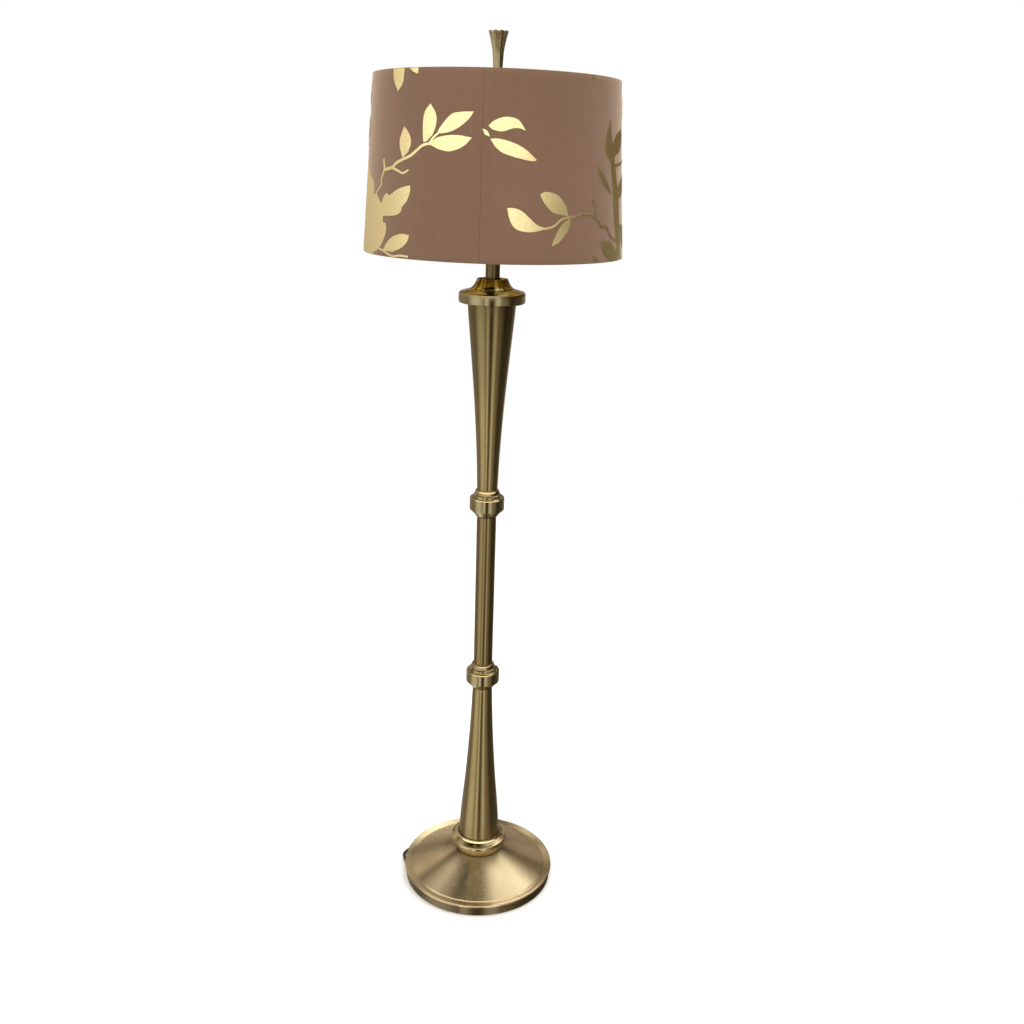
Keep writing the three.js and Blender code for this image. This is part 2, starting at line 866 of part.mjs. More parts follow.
/** The last of the lead, on top of the hank, turning back to the plug. */
function cordTail() {
  const rest = hankTop + GAP + CORD / 2;
  const route = [
    [-17.8, 240, rest],
    [-18.8, 256, rest],
    [-TAIL_RADIUS, HANK_END - 2, rest],
    [-17.3, 284, rest],
    [-10, 291.3, rest + 0.4],
    [0, 294, rest + 1.4],
    [10, 291.3, rest + 2.8],
    [17.3, 284, rest + 4.4],
    [TAIL_RADIUS, 278, plugMiddle],
    [TAIL_RADIUS, 275.8, plugMiddle],
  ];
  return tube(route, CORD, 8, 16);
}

/** The flat grip of a two-blade plug, tapering back to the lead. */
function plugBody() {
  const outline = new THREE.Shape([
    new THREE.Vector2(-12.5, 232),
    new THREE.Vector2(12.5, 232),
    new THREE.Vector2(12.5, 246),
    new THREE.Vector2(8, 260),
    new THREE.Vector2(4, 264),
    new THREE.Vector2(3.6, 275),
    new THREE.Vector2(-3.6, 275),
    new THREE.Vector2(-4, 264),
    new THREE.Vector2(-8, 260),
    new THREE.Vector2(-12.5, 246),
  ]);
  const settings = { depth: 16, bevelEnabled: false };
  const slab = new THREE.ExtrudeGeometry(outline, settings).translate(TAIL_RADIUS, 0, plugBottom);
  const trim = [-1, 1].map((side) => {
    const low = side < 0 ? plugBottom - 1 : plugMiddle + 3.8;
    const high = side < 0 ? plugMiddle - 3.8 : plugBottom + 17;
    return box([TAIL_RADIUS - 10, 263, low], [TAIL_RADIUS + 10, 276, high]);
  });
  return cut(slab, ...trim);
}

function plugBlade(side) {
  const x = TAIL_RADIUS + side * 6.35;
  return box([x - 0.75, 216, plugMiddle - 3.2], [x + 0.75, 231.7, plugMiddle + 3.2]);
}

const cord = section("cord");
add(cord, "cord_lead", cordLead(), BLACK_RUBBER);
add(cord, "cord_hank", cordHank(), BLACK_RUBBER);
add(cord, "hank_tie", hankTie(), BLACK_RUBBER);
add(cord, "cord_tail", cordTail(), BLACK_RUBBER);
add(cord, "plug_body", plugBody(), BLACK_RUBBER);
add(cord, "plug_blade_left", plugBlade(-1), BRASS);
add(cord, "plug_blade_right", plugBlade(1), BRASS);

export default lamp;
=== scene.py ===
"""Column floor lamp with a velvet drum shade: its visible surfaces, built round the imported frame."""

import math
from math import cos, pi, radians, sin

import bmesh
import bpy
from mathutils import Matrix, Vector


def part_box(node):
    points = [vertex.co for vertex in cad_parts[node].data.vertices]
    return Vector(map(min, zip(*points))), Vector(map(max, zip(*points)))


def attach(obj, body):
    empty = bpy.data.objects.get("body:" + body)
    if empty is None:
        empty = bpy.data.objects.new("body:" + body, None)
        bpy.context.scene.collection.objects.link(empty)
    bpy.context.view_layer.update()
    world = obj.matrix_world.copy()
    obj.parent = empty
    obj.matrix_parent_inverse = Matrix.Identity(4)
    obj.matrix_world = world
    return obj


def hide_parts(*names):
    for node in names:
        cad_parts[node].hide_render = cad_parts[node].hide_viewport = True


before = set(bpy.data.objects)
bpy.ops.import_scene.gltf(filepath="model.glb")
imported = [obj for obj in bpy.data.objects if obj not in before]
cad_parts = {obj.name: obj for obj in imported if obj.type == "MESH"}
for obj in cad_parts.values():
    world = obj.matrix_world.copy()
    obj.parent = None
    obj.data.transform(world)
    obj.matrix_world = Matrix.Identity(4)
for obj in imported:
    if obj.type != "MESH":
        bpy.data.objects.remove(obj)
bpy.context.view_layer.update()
scene = bpy.context.scene

MM = 0.001
INCH = 0.0254
SHEET = 1.2  # thickness of the spun brass, in millimetres
FINE = 168  # sides of a large turned piece
MEDIUM = 96
SMALL = 48


# ---- outlines and curves


def smooth(points, steps):
    """A smooth curve through the points, the same kind that the CAD model uses."""
    points = [Vector(p) for p in points]
    ends = [2 * points[0] - points[1], 2 * points[-1] - points[-2]]
    padded = [ends[0], *points, ends[1]]
    curve = []
    for before, start, end, after in zip(padded, padded[1:], padded[2:], padded[3:]):
        for i in range(steps):
            t = i / steps
            leave = (end - before) / 2
            arrive = (after - start) / 2
            curve.append(
                start * (2 * t**3 - 3 * t**2 + 1)
                + leave * (t**3 - 2 * t**2 + t)
                + end * (3 * t**2 - 2 * t**3)
                + arrive * (t**3 - t**2)
            )
    return [*curve, points[-1]]


def rounded(outline, radius, steps=3):
    """An open outline with an arc at each corner that turns by more than 20 degrees."""
    points = [Vector(p) for p in outline]
    result = [points[0]]
    for before, corner, after in zip(points, points[1:], points[2:]):
        back = before - corner
        onward = after - corner
        turn = pi - back.angle(onward, pi)
        if turn < radians(20):
            result.append(corner)
            continue
        reach = min(radius * math.tan(turn / 2), 0.45 * back.length, 0.45 * onward.length)
        start = corner + back.normalized() * reach
        end = corner + onward.normalized() * reach
        for i in range(steps + 1):
            t = i / steps
            result.append(start * (1 - t) ** 2 + corner * 2 * t * (1 - t) + end * t**2)
    return [*result, points[-1]]


def offset(outline, distance):
    """An open outline moved to its left, seen along its direction."""
    points = [Vector(p) for p in outline]
    normals = []
    for start, end in zip(points, points[1:]):
        along = (end - start).normalized()
        normals.append(Vector((-along.y, along.x)))
    result = [points[0] + normals[0] * distance]
    for point, first, second in zip(points[1:], normals, normals[1:]):
        middle = (first + second).normalized()
        result.append(point + middle * distance / max(middle.dot(first), 0.5))
    return [*result, points[-1] + normals[-1] * distance]


def walled(outside, wall, radius=0.4):
    """A closed outline of a sheet-metal wall, from its outside, which runs upwards."""
    return [*rounded(outside, radius), *reversed(offset(outside, wall))]


def ring_outline(inner, outer, bottom, top, radius):
    """A closed outline of a plain ring, its outer corners rounded."""
    outside = [(inner, bottom), (outer, bottom), (outer, top), (inner, top)]
    return rounded(outside, radius)


# ---- meshes


def link(name, data):
    piece = bpy.data.objects.new(name, data)
    scene.collection.objects.link(piece)
    return piece


def mesh_piece(name, vertices, faces, material):
    mesh = bpy.data.meshes.new(name)
    mesh.from_pydata([tuple(v) for v in vertices], [], faces)
    work = bmesh.new()
    work.from_mesh(mesh)
    bmesh.ops.remove_doubles(work, verts=work.verts, dist=1e-7)
    bmesh.ops.recalc_face_normals(work, faces=work.faces)
    work.to_mesh(mesh)
    work.free()
    mesh.shade_smooth()
    mesh.materials.append(material)
    return link(name, mesh)


def quads(rows, columns, rows_close=True, columns_close=True):
    """The faces of a grid of vertices, whose last row and last column may join the first."""
    faces = []
    for i in range(rows if rows_close else rows - 1):
        here, there = i * columns, (i + 1) % rows * columns
        for j in range(columns if columns_close else columns - 1):
            k = (j + 1) % columns
            faces.append((here + j, there + j, there + k, here + k))
    return faces


def turned(name, outline, material, sides=FINE, warp=None):
    """A solid turned about Z from a closed outline of (radius, height) in millimetres.

    warp(angle, radius, height) gives a point's own radius and height, for flutes and threads.
    """
    points = [tuple(p) for p in outline]
    vertices = []
    for i in range(sides):
        angle = 2 * pi * i / sides
        for radius, height in points:
            if warp:
                radius, height = warp(angle, radius, height)
            vertices.append((radius * cos(angle) * MM, radius * sin(angle) * MM, height * MM))
    count = len(points)
    on_axis = [radius == 0 for radius, height in points]
    faces = [f for f in quads(sides, count) if not (on_axis[f[0] % count] and on_axis[f[2] % count])]
    piece = mesh_piece(name, vertices, faces, material)
    # flat faces stay flat beside their rounded edges
    piece.modifiers.new("flat faces", "WEIGHTED_NORMAL").weight = 100
    return piece


def extent(node_name):
    """A turned CAD node's widest radius, foot and top, in millimetres."""
    low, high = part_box(node_name)
    return high.x / MM, low.z / MM, high.z / MM


def rel(node_name, outline):
    """(inset, height) pairs made into (radius, height), from a node's widest radius and its foot."""
    low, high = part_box(node_name)
    edge = (high.x - low.x) / 2 / MM
    return [(edge - inset, low.z / MM + height) for inset, height in outline]


def wire(name, points, diameter, material):
    """A round wire or cord along points in metres."""
    curve = bpy.data.curves.new(name, "CURVE")
    curve.dimensions = "3D"
    curve.bevel_depth = diameter / 2
    curve.bevel_resolution = 4
    curve.use_fill_caps = True
    spline = curve.splines.new("POLY")
    spline.points.add(len(points) - 1)
    for slot, point in zip(spline.points, points):
        slot.co = (*point, 1)
    spline.use_smooth = True
    curve.materials.append(material)
    return link(name, curve)


def along(points):
    """Points in millimetres, as metres."""
    return [Vector(p) * MM for p in points]


def aimed(origin, direction):
    """The place of a piece that points its Z axis along the direction. The origin is in metres."""
    turn = Vector((0, 0, 1)).rotation_difference(Vector(direction))
    return Matrix.Translation(origin) @ turn.to_matrix().to_4x4()


def drill(piece, radius, depths, origin, direction, sides, crease):
    """Cuts a round hole in the piece, and sharpens edges that turn by more than crease degrees."""
    cutter = turned("hole", ring_outline(0, radius, *depths, 0), piece.data.materials[0], sides)
    cutter.matrix_world = aimed(origin, direction)
    others = list(piece.modifiers)
    for modifier in others:
        modifier.show_viewport = False
    boolean = piece.modifiers.new("cut", "BOOLEAN")
    boolean.object = cutter
    boolean.solver = "EXACT"
    bpy.context.view_layer.update()
    graph = bpy.context.evaluated_depsgraph_get()
    piece.data = bpy.data.meshes.new_from_object(piece.evaluated_get(graph))
    piece.modifiers.remove(boolean)
    for modifier in others:
        modifier.show_viewport = True
    bpy.data.objects.remove(cutter)
    piece.data.set_sharp_from_angle(angle=radians(crease))


def place(piece, body, slot, *nodes):
    """Puts a piece on its body, in place of the CAD nodes."""
    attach(piece, body)
    if nodes:
        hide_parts(*nodes)
    return piece


# ---- materials


def new_material(name, **sockets):
    """A material whose Principled shader has the values that don't vary over the surface."""
    mat = bpy.data.materials.new(name)
    mat.use_nodes = True
    shader = mat.node_tree.nodes["Principled BSDF"]
    for key, value in sockets.items():
        shader.inputs[key.replace("_", " ").title().replace("Ior", "IOR")].default_value = value
    return mat


def node(mat, kind, sockets=None, **settings):
    """A shader node. Each socket is given a value or another node's output."""
    made = mat.node_tree.nodes.new("ShaderNode" + kind)
    for key, value in settings.items():
        setattr(made, key, value)
    for key, value in (sockets or {}).items():
        if isinstance(value, bpy.types.NodeSocket):
            mat.node_tree.links.new(value, made.inputs[key])
        else:
            made.inputs[key].default_value = value
    return made


def out(mat, kind, sockets=None, output=0, **settings):
    """One output of a new shader node."""
    return node(mat, kind, sockets, **settings).outputs[output]


def maths(mat, operation, *values):
    """The result of a sum on numbers or outputs."""
    return out(mat, "Math", dict(enumerate(values)), operation=operation)


def feed(mat, socket, output):
    """Joins an output to a socket of the Principled shader."""
    mat.node_tree.links.new(output, mat.node_tree.nodes["Principled BSDF"].inputs[socket])


def in_object(mat, tall=1):
    """Object coordinates in metres, with the height times tall."""
    sockets = {"Vector": out(mat, "TexCoord", output="Object"), "Scale": (1, 1, tall)}
    return out(mat, "Mapping", sockets)


def noise(mat, scale, detail=3.0, roughness=0.5, tall=1, vector=None):
    """Noise from 0 to 1 over the object, or over another vector."""
    if vector is None:
        vector = in_object(mat, tall)
    sockets = {"Vector": vector, "Scale": scale, "Detail": detail, "Roughness": roughness}
    return out(mat, "TexNoise", sockets, "Fac")


def spread(mat, value, low, high, start=0.3, end=0.7):
    """A value between start and end, made to run from low to high."""
    sockets = {"Value": value, "From Min": start, "From Max": end, "To Min": low, "To Max": high}
    return out(mat, "MapRange", sockets, "Result")


def blend(mat, share, first, second):
    """Two colours, or outputs, mixed by a share."""
    mix = node(mat, "Mix", data_type="RGBA")
    for index, value in ((0, share), (6, first), (7, second)):
        if isinstance(value, bpy.types.NodeSocket):
            mat.node_tree.links.new(value, mix.inputs[index])
        else:
            mix.inputs[index].default_value = (*value, 1) if index else value
    return mix.outputs[2]


def bump(mat, height, distance, strength=1.0, normal=None):
    sockets = {"Height": height, "Distance": distance, "Strength": strength}
    if normal:
        sockets["Normal"] = normal
    return out(mat, "Bump", sockets)


BRUSH_RATE = 1600.0  # features of the brushing to the metre, across its lines
BRUSH_DRAWN = 25.0  # and along them
PAINTED_SHADE_DEPTH = 0.33  # how much of the dark brass is left where shade and reflections are painted on


def brush_lines(mat):
    """Fine lines round the object's own Z axis, as a lathe and an abrasive leave them."""
    where = out(mat, "TexCoord", output="Object")
    x, y, z = node(mat, "SeparateXYZ", {0: where}).outputs
    flat = out(mat, "CombineXYZ", {0: x, 1: y})
    radius = out(mat, "VectorMath", {0: flat}, "Value", operation="LENGTH")
    rates = ((radius, BRUSH_RATE), (z, BRUSH_RATE), (x, BRUSH_DRAWN))
    lines = [maths(mat, "MULTIPLY", value, rate) for value, rate in rates]
    return noise(mat, 1.0, 2.0, vector=out(mat, "CombineXYZ", dict(enumerate(lines))))


def brass(name, bright, dark, roughness, anisotropy, patina=0.5, foot=None, painted_shade_span=None, painted_streaks=0):
    """Lacquered brass, brushed round its axis, with a cloudy brown patina.

    It has painted shade below the foot, and painted shade deepening from the first height of
    painted_shade_span to the second, in metres. painted_streaks is how dark its painted reflection
    streaks are, up and down it.
    """
    mat = new_material(name, metallic=1.0, anisotropic=anisotropy, anisotropic_rotation=0.25)
    clouds = noise(mat, 22.0, 5.0, 0.6, tall=0.35)
    specks = noise(mat, 900.0, 2.0)
    lines = brush_lines(mat)
    tone = blend(mat, spread(mat, clouds, 0.0, patina), bright, dark)
    where = out(mat, "TexCoord", output="Object")
    height = out(mat, "SeparateXYZ", {0: where}, 2)
    # the dark colour that the painted shade and painted reflections below take
    brown = tuple(PAINTED_SHADE_DEPTH * value for value in dark)
    # painted shade below the foot, where the brass would reflect the shaded floor beside it
    if foot:
        tone = blend(mat, spread(mat, height, 1.0, 0.0, foot - 0.002, foot + 0.001), tone, brown)
    # painted shade, deepening from the first height of the span to the second
    if painted_shade_span:
        tone = blend(mat, spread(mat, height, 0.0, 0.7, *painted_shade_span), tone, brown)
    # painted reflections: dark streaks that run up and down
    if painted_streaks:
        around = out(mat, "VectorMath", {0: in_object(mat, 0)}, operation="NORMALIZE")
        painted_reflection = spread(mat, noise(mat, 3.4, vector=around), 0.0, painted_streaks, 0.4, 0.54)
        tone = blend(mat, painted_reflection, tone, brown)
    scratch = spread(mat, lines, 0.0, 0.22, 0.35, 0.75)
    feed(mat, "Base Color", blend(mat, scratch, tone, dark))
    rough = spread(mat, clouds, roughness - 0.04, roughness + 0.06)
    worn = spread(mat, specks, 0.0, 0.05, 0.45, 0.75)
    feed(mat, "Roughness", maths(mat, "ADD", rough, worn))
    feed(mat, "Normal", bump(mat, lines, 0.00002, 0.2))
    feed(mat, "Tangent", out(mat, "Tangent", direction_type="RADIAL", axis="Z"))
    return mat


def velvet_material():
    """Short-pile mocha velvet: paler where it is seen along its pile, with soft brushed patches."""
    mat = new_material(
        "shade velvet", roughness=0.92, sheen_weight=0.63, sheen_roughness=0.45,
        sheen_tint=(0.86, 0.71, 0.55, 1), specular_ior_level=0.15,
    )
    patches = noise(mat, 9.0, tall=0.5)
    brushed = noise(mat, 240.0, 3.0, 0.65, tall=0.25)
    pile = noise(mat, 2600.0, 2.0, tall=0.6)
    threads = noise(mat, 700.0, 2.0, tall=0.12)
    tone = blend(mat, spread(mat, patches, 0.0, 1.0), (0.175, 0.1, 0.066), (0.155, 0.09, 0.058))
    tone = blend(mat, spread(mat, pile, 0.0, 0.35, 0.3, 0.75), tone, (0.104, 0.06, 0.039))
    nap = spread(mat, brushed, 0.0, 0.3, 0.35, 0.7)
    feed(mat, "Base Color", blend(mat, nap, tone, (0.112, 0.064, 0.042)))
    rib = bump(mat, threads, 0.00006, 0.25)
    feed(mat, "Normal", bump(mat, pile, 0.00012, 0.5, rib))
    return mat


def foil_material():
    """Pale gold foil, pressed on to the pile, so it is slightly uneven."""
    mat = new_material("gold foil", metallic=1.0)
    clouds = noise(mat, 260.0, 4.0)
    grain = noise(mat, 2200.0, 2.0)
    share = spread(mat, clouds, 0.0, 1.0, 0.35, 0.7)
    feed(mat, "Base Color", blend(mat, share, (1.0, 0.89, 0.5), (0.95, 0.76, 0.38)))
    feed(mat, "Roughness", spread(mat, grain, 0.3, 0.44))
    feed(mat, "Normal", bump(mat, grain, 0.00006, 0.5))
    return mat


def cloudy(name, bright, dark, scale, rough, grain_scale, grain_depth, **sockets):
    """A plain stuff with a cloudy colour and a fine grain."""
    mat = new_material(name, **sockets)
    clouds = noise(mat, scale, 4.0)
    grain = noise(mat, grain_scale)
    feed(mat, "Base Color", blend(mat, spread(mat, clouds, 0.0, 1.0), bright, dark))
    feed(mat, "Roughness", spread(mat, grain, rough - 0.07, rough + 0.07))
    feed(mat, "Normal", bump(mat, grain, grain_depth, 0.6))
    return mat


# its painted shade darkens the top of the column and the neck, under the shade
ANTIQUE = brass(
    "antique brass", (0.35, 0.275, 0.125), (0.25, 0.178, 0.07), 0.19, 1.0, painted_shade_span=(0.93, 1.2)
)
DEEP = brass("deeper antique brass", (0.27, 0.205, 0.09), (0.19, 0.132, 0.05), 0.19, 1.0)
RINGS = brass("smoother antique brass", (0.42, 0.345, 0.18), (0.25, 0.192, 0.092), 0.12, 0.55)
# painted shade on the wall below the foot height, and a painted shadow on the cone next to the collar
BASE = brass(
    "base brass", (0.62, 0.5, 0.3), (0.48, 0.36, 0.19), 0.25, 1.0,
    patina=0.4, foot=0.0205, painted_shade_span=(0.048, 0.064),
)
# painted reflections as dark streaks up and down the cap's cone
POLISHED = brass(
    "polished brass", (0.8, 0.68, 0.26), (0.42, 0.32, 0.1), 0.12, 0.7, patina=0.6, painted_streaks=1.0
)
# painted shade on the lower part of the ogee, where it meets the cone
COLLAR = brass(
    "collar brass", (0.6, 0.5, 0.28), (0.36, 0.27, 0.12), 0.12, 0.55, painted_shade_span=(0.082, 0.067)
)
FINIAL = brass("finial brass", (0.52, 0.44, 0.26), (0.32, 0.25, 0.13), 0.2, 0.1)
PLAIN = brass("plain brass", (0.62, 0.5, 0.22), (0.45, 0.33, 0.13), 0.26, 0.3)
STEEL = cloudy(
    "zinc plated steel", (0.62, 0.63, 0.63), (0.47, 0.48, 0.5), 60.0, 0.34, 700.0, 0.00003, metallic=1.0
)
IRON = cloudy(
    "cast iron", (0.05, 0.05, 0.052), (0.022, 0.022, 0.024), 30.0, 0.72, 420.0, 0.0006, metallic=0.4
)
FELT = cloudy(
    "black felt", (0.02, 0.02, 0.022), (0.008, 0.008, 0.009), 300.0, 0.93, 1500.0, 0.0003,
    sheen_weight=0.4, sheen_roughness=0.5,
)
RUBBER = cloudy(
    "black cord", (0.018, 0.018, 0.019), (0.011, 0.011, 0.012), 80.0, 0.46, 1800.0, 0.00003,
    specular_ior_level=0.45,
)
PHENOLIC = cloudy(
    "brown phenolic", (0.03, 0.017, 0.011), (0.014, 0.008, 0.006), 900.0, 0.3, 1300.0, 0.00001,
    coat_weight=0.3, coat_roughness=0.2,
)
PAPERBOARD = cloudy(
    "paperboard", (0.33, 0.25, 0.16), (0.25, 0.18, 0.11), 400.0, 0.86, 1100.0, 0.00008
)
LINER = cloudy(
    "gold shade liner", (0.66, 0.49, 0.16), (0.48, 0.34, 0.1), 35.0, 0.4, 500.0, 0.00005, metallic=0.85
)
WHITE_WIRE = cloudy(
    "white coated wire", (0.78, 0.78, 0.76), (0.7, 0.7, 0.68), 90.0, 0.36, 800.0, 0.00003,
    coat_weight=0.2, coat_roughness=0.25,
)
GLASS = cloudy(
    "soft white glass", (0.9, 0.89, 0.86), (0.86, 0.85, 0.81), 40.0, 0.22, 900.0, 0.000004,
    coat_weight=0.5, coat_roughness=0.08,
)
VELVET = velvet_material()
FOIL = foil_material()


# ---- camera


EYE = (0, -1.86, 1.3718)
FOCAL_LENGTH = 37.66
SENSOR = 36


def make_camera():
    """Near eye level, looking down at the whole lamp, turned and tilted as a hand-held shot is."""
    pitch, yaw, roll = radians(17.94), radians(1.42), radians(1.87)
    ahead = Vector((sin(yaw) * cos(pitch), cos(yaw) * cos(pitch), -sin(pitch)))
    level = Vector((cos(yaw), -sin(yaw), 0))
    upright = level.cross(ahead)
    right = cos(roll) * level + sin(roll) * upright
    up = cos(roll) * upright - sin(roll) * level
    data = bpy.data.cameras.new("camera")
    data.sensor_width = SENSOR
    data.lens = FOCAL_LENGTH
    camera = link("camera", data)
    turn = Matrix((right, up, -ahead)).transposed()
    camera.matrix_world = Matrix.Translation(EYE) @ turn.to_4x4()
    scene.camera = camera


make_camera()


# ---- the free lead

CORD = 5.5  # diameter, in millimetres
EXIT_ANGLE = radians(3)
EXIT_SLANT = radians(66)
EXIT_HEIGHT = 8
EXIT_INSET = 3  # of the wall of the base, from its widest radius
RELIEF_INSIDE = 9
RELIEF_OUTSIDE = 17
RELIEF_RADIUS = 4.2
HANK_START = 190
HANK_END = 274
HANK_WIDEST = 28.5
HANK_NARROWEST = HANK_WIDEST - 2 * CORD
HANK_LAYERS = 3
HANK_FLOOR = 1.6
CLIMB = 0.25  # of a turn, to get up on to the next layer
TAIL_RADIUS = 20
TIE_END = 214

outward = Vector((-cos(EXIT_ANGLE), sin(EXIT_ANGLE), 0))
backward = Vector((sin(EXIT_ANGLE), cos(EXIT_ANGLE), 0))
exit_direction = outward * cos(EXIT_SLANT) + backward * sin(EXIT_SLANT)
exit_point = outward * (extent("base_shell")[0] - EXIT_INSET) + Vector((0, 0, EXIT_HEIGHT))


def lead_route():
    """From the strain relief, round the back of the base, to where the hank starts."""
    start = exit_point + exit_direction * (RELIEF_OUTSIDE + 0.3)
    down = [(-152.9, 31.3, 7.6), (-153.1, 38.6, 6.5), (-151.3, 46.3, 5.1), (-147.2, 54.3, 3.9)]
    on_floor = [
        (-134.6, 71.8), (-126.6, 82.4), (-117.4, 94), (-106.6, 106.4),
        (-94.6, 117.6), (-80.6, 128.6), (-65.6, 138.4), (-51.2, 147.4),
    ]
    round_back = [(-141.6, 62.5, 3.1), *((x, y, 2.9) for x, y in on_floor)]
    to_hank = [(-39.2, 158, 3.2), (-31.2, 171.6, 3.6), (-HANK_WIDEST, HANK_START, HANK_FLOOR + CORD / 2)]
    return smooth([start, *down, *round_back, *to_hank], 3)[:-1]


def ease(share):
    share = min(max(share, 0), 1)
    return (1 - cos(pi * share)) / 2


def hank_radius(turns):
    """Half the width of the hank, so many turns in: two turns a layer, in and then out."""
    layer, within = divmod(turns, 2)
    share = within / 2
    if layer:
        share = max(within - CLIMB, 0) / (2 - CLIMB)
    inward = 2 * CORD * share
    return HANK_NARROWEST + inward if layer == 1 else HANK_WIDEST - inward


def hank_height(turns):
    layer, within = divmod(turns, 2)
    level = layer - 1 + ease(within / CLIMB) if layer else 0
    return HANK_FLOOR + CORD / 2 + level * CORD


def hank_turns():
    """Six turns about two centres, laid in three layers."""
    run_steps = 4
    bend_steps = 10
    points = []
    for turn in range(2 * HANK_LAYERS):
        for half, side in ((0, -1), (0.5, 1)):
            near, far = (HANK_START, HANK_END) if side < 0 else (HANK_END, HANK_START)
            for i in range(run_steps):
                share = i / run_steps
                turns = turn + half + 0.25 * share
                x = side * hank_radius(turns)
                points.append((x, near + (far - near) * share, hank_height(turns)))
            for i in range(bend_steps):
                share = i / bend_steps
                turns = turn + half + 0.25 + 0.25 * share
                reach = side * hank_radius(turns)
                x, y = reach * cos(pi * share), far - reach * sin(pi * share)
                points.append((x, y, hank_height(turns)))
    return points


def tail_route():
    """Out from under the tie, up on to the hank, and round to the plug."""
    low = HANK_FLOOR + (HANK_LAYERS - 0.5) * CORD
    rest = low + CORD + 0.3
    rise = 30
    steps = 6
    points = [(-HANK_NARROWEST, y, low) for y in (HANK_START, 202, TIE_END)]
    for i in range(1, steps):
        share = i / steps
        points.append((-HANK_NARROWEST, TIE_END + rise * share, low + (rest - low) * ease(share)))
    hand_laid = [
        (-17.7, TIE_END + rise, 0), (-18.8, 258, 0), (-TAIL_RADIUS, HANK_END - 2, 0),
        (-17.3, 284, 0), (-10, 291.3, 0.4), (0, 294, 1.4), (10, 291.3, 2.8), (17.3, 284, 4.4),
        (TAIL_RADIUS, 278, 5.2), (TAIL_RADIUS, 274.6, 5.25),
    ]
    bend = smooth([(x, y, rest + above) for x, y, above in hand_laid], 2)
    return [Vector(p) for p in points] + bend


def make_strain_relief():
    """A ribbed, tapering sleeve on the lead where it leaves the wall of the base."""
    bore = CORD / 2 + 0.05
    total = RELIEF_INSIDE + RELIEF_OUTSIDE
    outside = [(bore, 0), (RELIEF_RADIUS, 0), (RELIEF_RADIUS, RELIEF_INSIDE)]
    ribs = 5
    pitch = (RELIEF_OUTSIDE - 3) / ribs
    for i in range(ribs):
        start = RELIEF_INSIDE + 0.8 + i * pitch
        radius = RELIEF_RADIUS - i * 0.2
        rib = [(0.7, 0), (0.7, 0.9), (0.1, 1.1), (0.2, pitch - 0.1)]
        outside += [(radius - inset, start + height) for inset, height in rib]
    outside += [(3.2, total - 1.6), (3.2, total), (bore, total)]
    piece = turned("cord_strain_relief", rounded(outside, 0.25), RUBBER, SMALL)
    piece.matrix_world = aimed((exit_point - exit_direction * RELIEF_INSIDE) * MM, exit_direction)
    return place(piece, "stand", "black_rubber", "strain_relief")


def make_tie():
    """A soft strap round the middle of the hank."""
    low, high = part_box("hank_tie")
    strap = 1.0 * MM
    corner = 3 * MM
    steps = 5  # round each corner
    corners = ((1, 1, 0), (-1, 1, 90), (-1, -1, 180), (1, -1, 270))
    vertices = []
    for inset, y in ((0, low.y), (0, high.y), (strap, high.y), (strap, low.y)):
        for sign_x, sign_z, first in corners:
            edge_x = high.x - corner if sign_x > 0 else low.x + corner
            edge_z = high.z - corner if sign_z > 0 else low.z + corner
            for i in range(steps + 1):
                angle = radians(first + 90 * i / steps)
                reach = corner - inset
                vertices.append((edge_x + reach * cos(angle), y, edge_z + reach * sin(angle)))
    faces = quads(4, len(corners) * (steps + 1))
    piece = mesh_piece("cord_tie", vertices, faces, FELT)
    soften(piece, 0.25)
    return place(piece, "stand", "felt", "hank_tie")


def soften(piece, width):
    """Bevels the piece's edges, so many millimetres wide."""
    edges = piece.modifiers.new("soft edges", "BEVEL")
    edges.width = width * MM
    edges.segments = 2
    edges.limit_method = "ANGLE"


def loft(name, sections, material, around=40):
    """A closed skin over rounded sections across Y: (y, half width, half height, squareness)."""
    vertices = []
    for y, half_x, half_z, square in sections:
        for i in range(around):
            angle = 2 * pi * i / around
            x, z = (
                half * math.copysign(abs(share) ** (2 / square), share)
                for half, share in ((half_x, cos(angle)), (half_z, sin(angle)))
            )
            vertices.append((x * MM, y * MM, z * MM))
    ends = [tuple(range(around)), tuple(range(len(vertices) - around, len(vertices)))]
    faces = ends + quads(len(sections), around, rows_close=False)
    return mesh_piece(name, vertices, faces, material)


def make_plug():
    """The moulded plug: a flat face, a grip with three ridges, and a ribbed neck."""
    low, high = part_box("plug_body")
    wide = (high.x - low.x) / 2 / MM
    tall = (high.z - low.z) / 2 / MM
    sections = [(0, wide - 1.6, tall - 1.6, 5), (0.4, wide - 0.6, tall - 0.6, 5)]
    sections += [(1.6, wide, tall, 5), (6, wide, tall, 5)]
    for i in range(3):
        start, ridge_x, ridge_z = 7 + 3.4 * i, wide - i * 0.9, tall - i * 0.4
        for step, in_x, in_z in ((0, 0, 0), (0.6, 1.1, 0.8), (1.6, 1.1, 0.8), (2.2, 0.3, 0.1)):
            sections.append((start + step, ridge_x - in_x, ridge_z - in_z, 4.5))
    sections += [(19, 10.2, 6.6, 3.6), (24, 8.2, 5.6, 3), (29, 5.2, 4.6, 2.4), (32, 4, 3.9, 2)]
    for i in range(4):
        for step, radius in ((0, 3.2), (0.7, 3.2), (0.9, 3.7), (2.2, 3.6)):
            sections.append((33 + 2.4 * i + step, radius, radius, 2))
    sections += [(42.8, 3.5, 3.5, 2), (43, 2.9, 2.9, 2)]
    body = loft("cord_plug", sections, RUBBER)
    body.location = ((low.x + high.x) / 2, low.y, (low.z + high.z) / 2)
    place(body, "stand", "black_rubber", "plug_body")
    return [body, make_blade("left"), make_blade("right")]


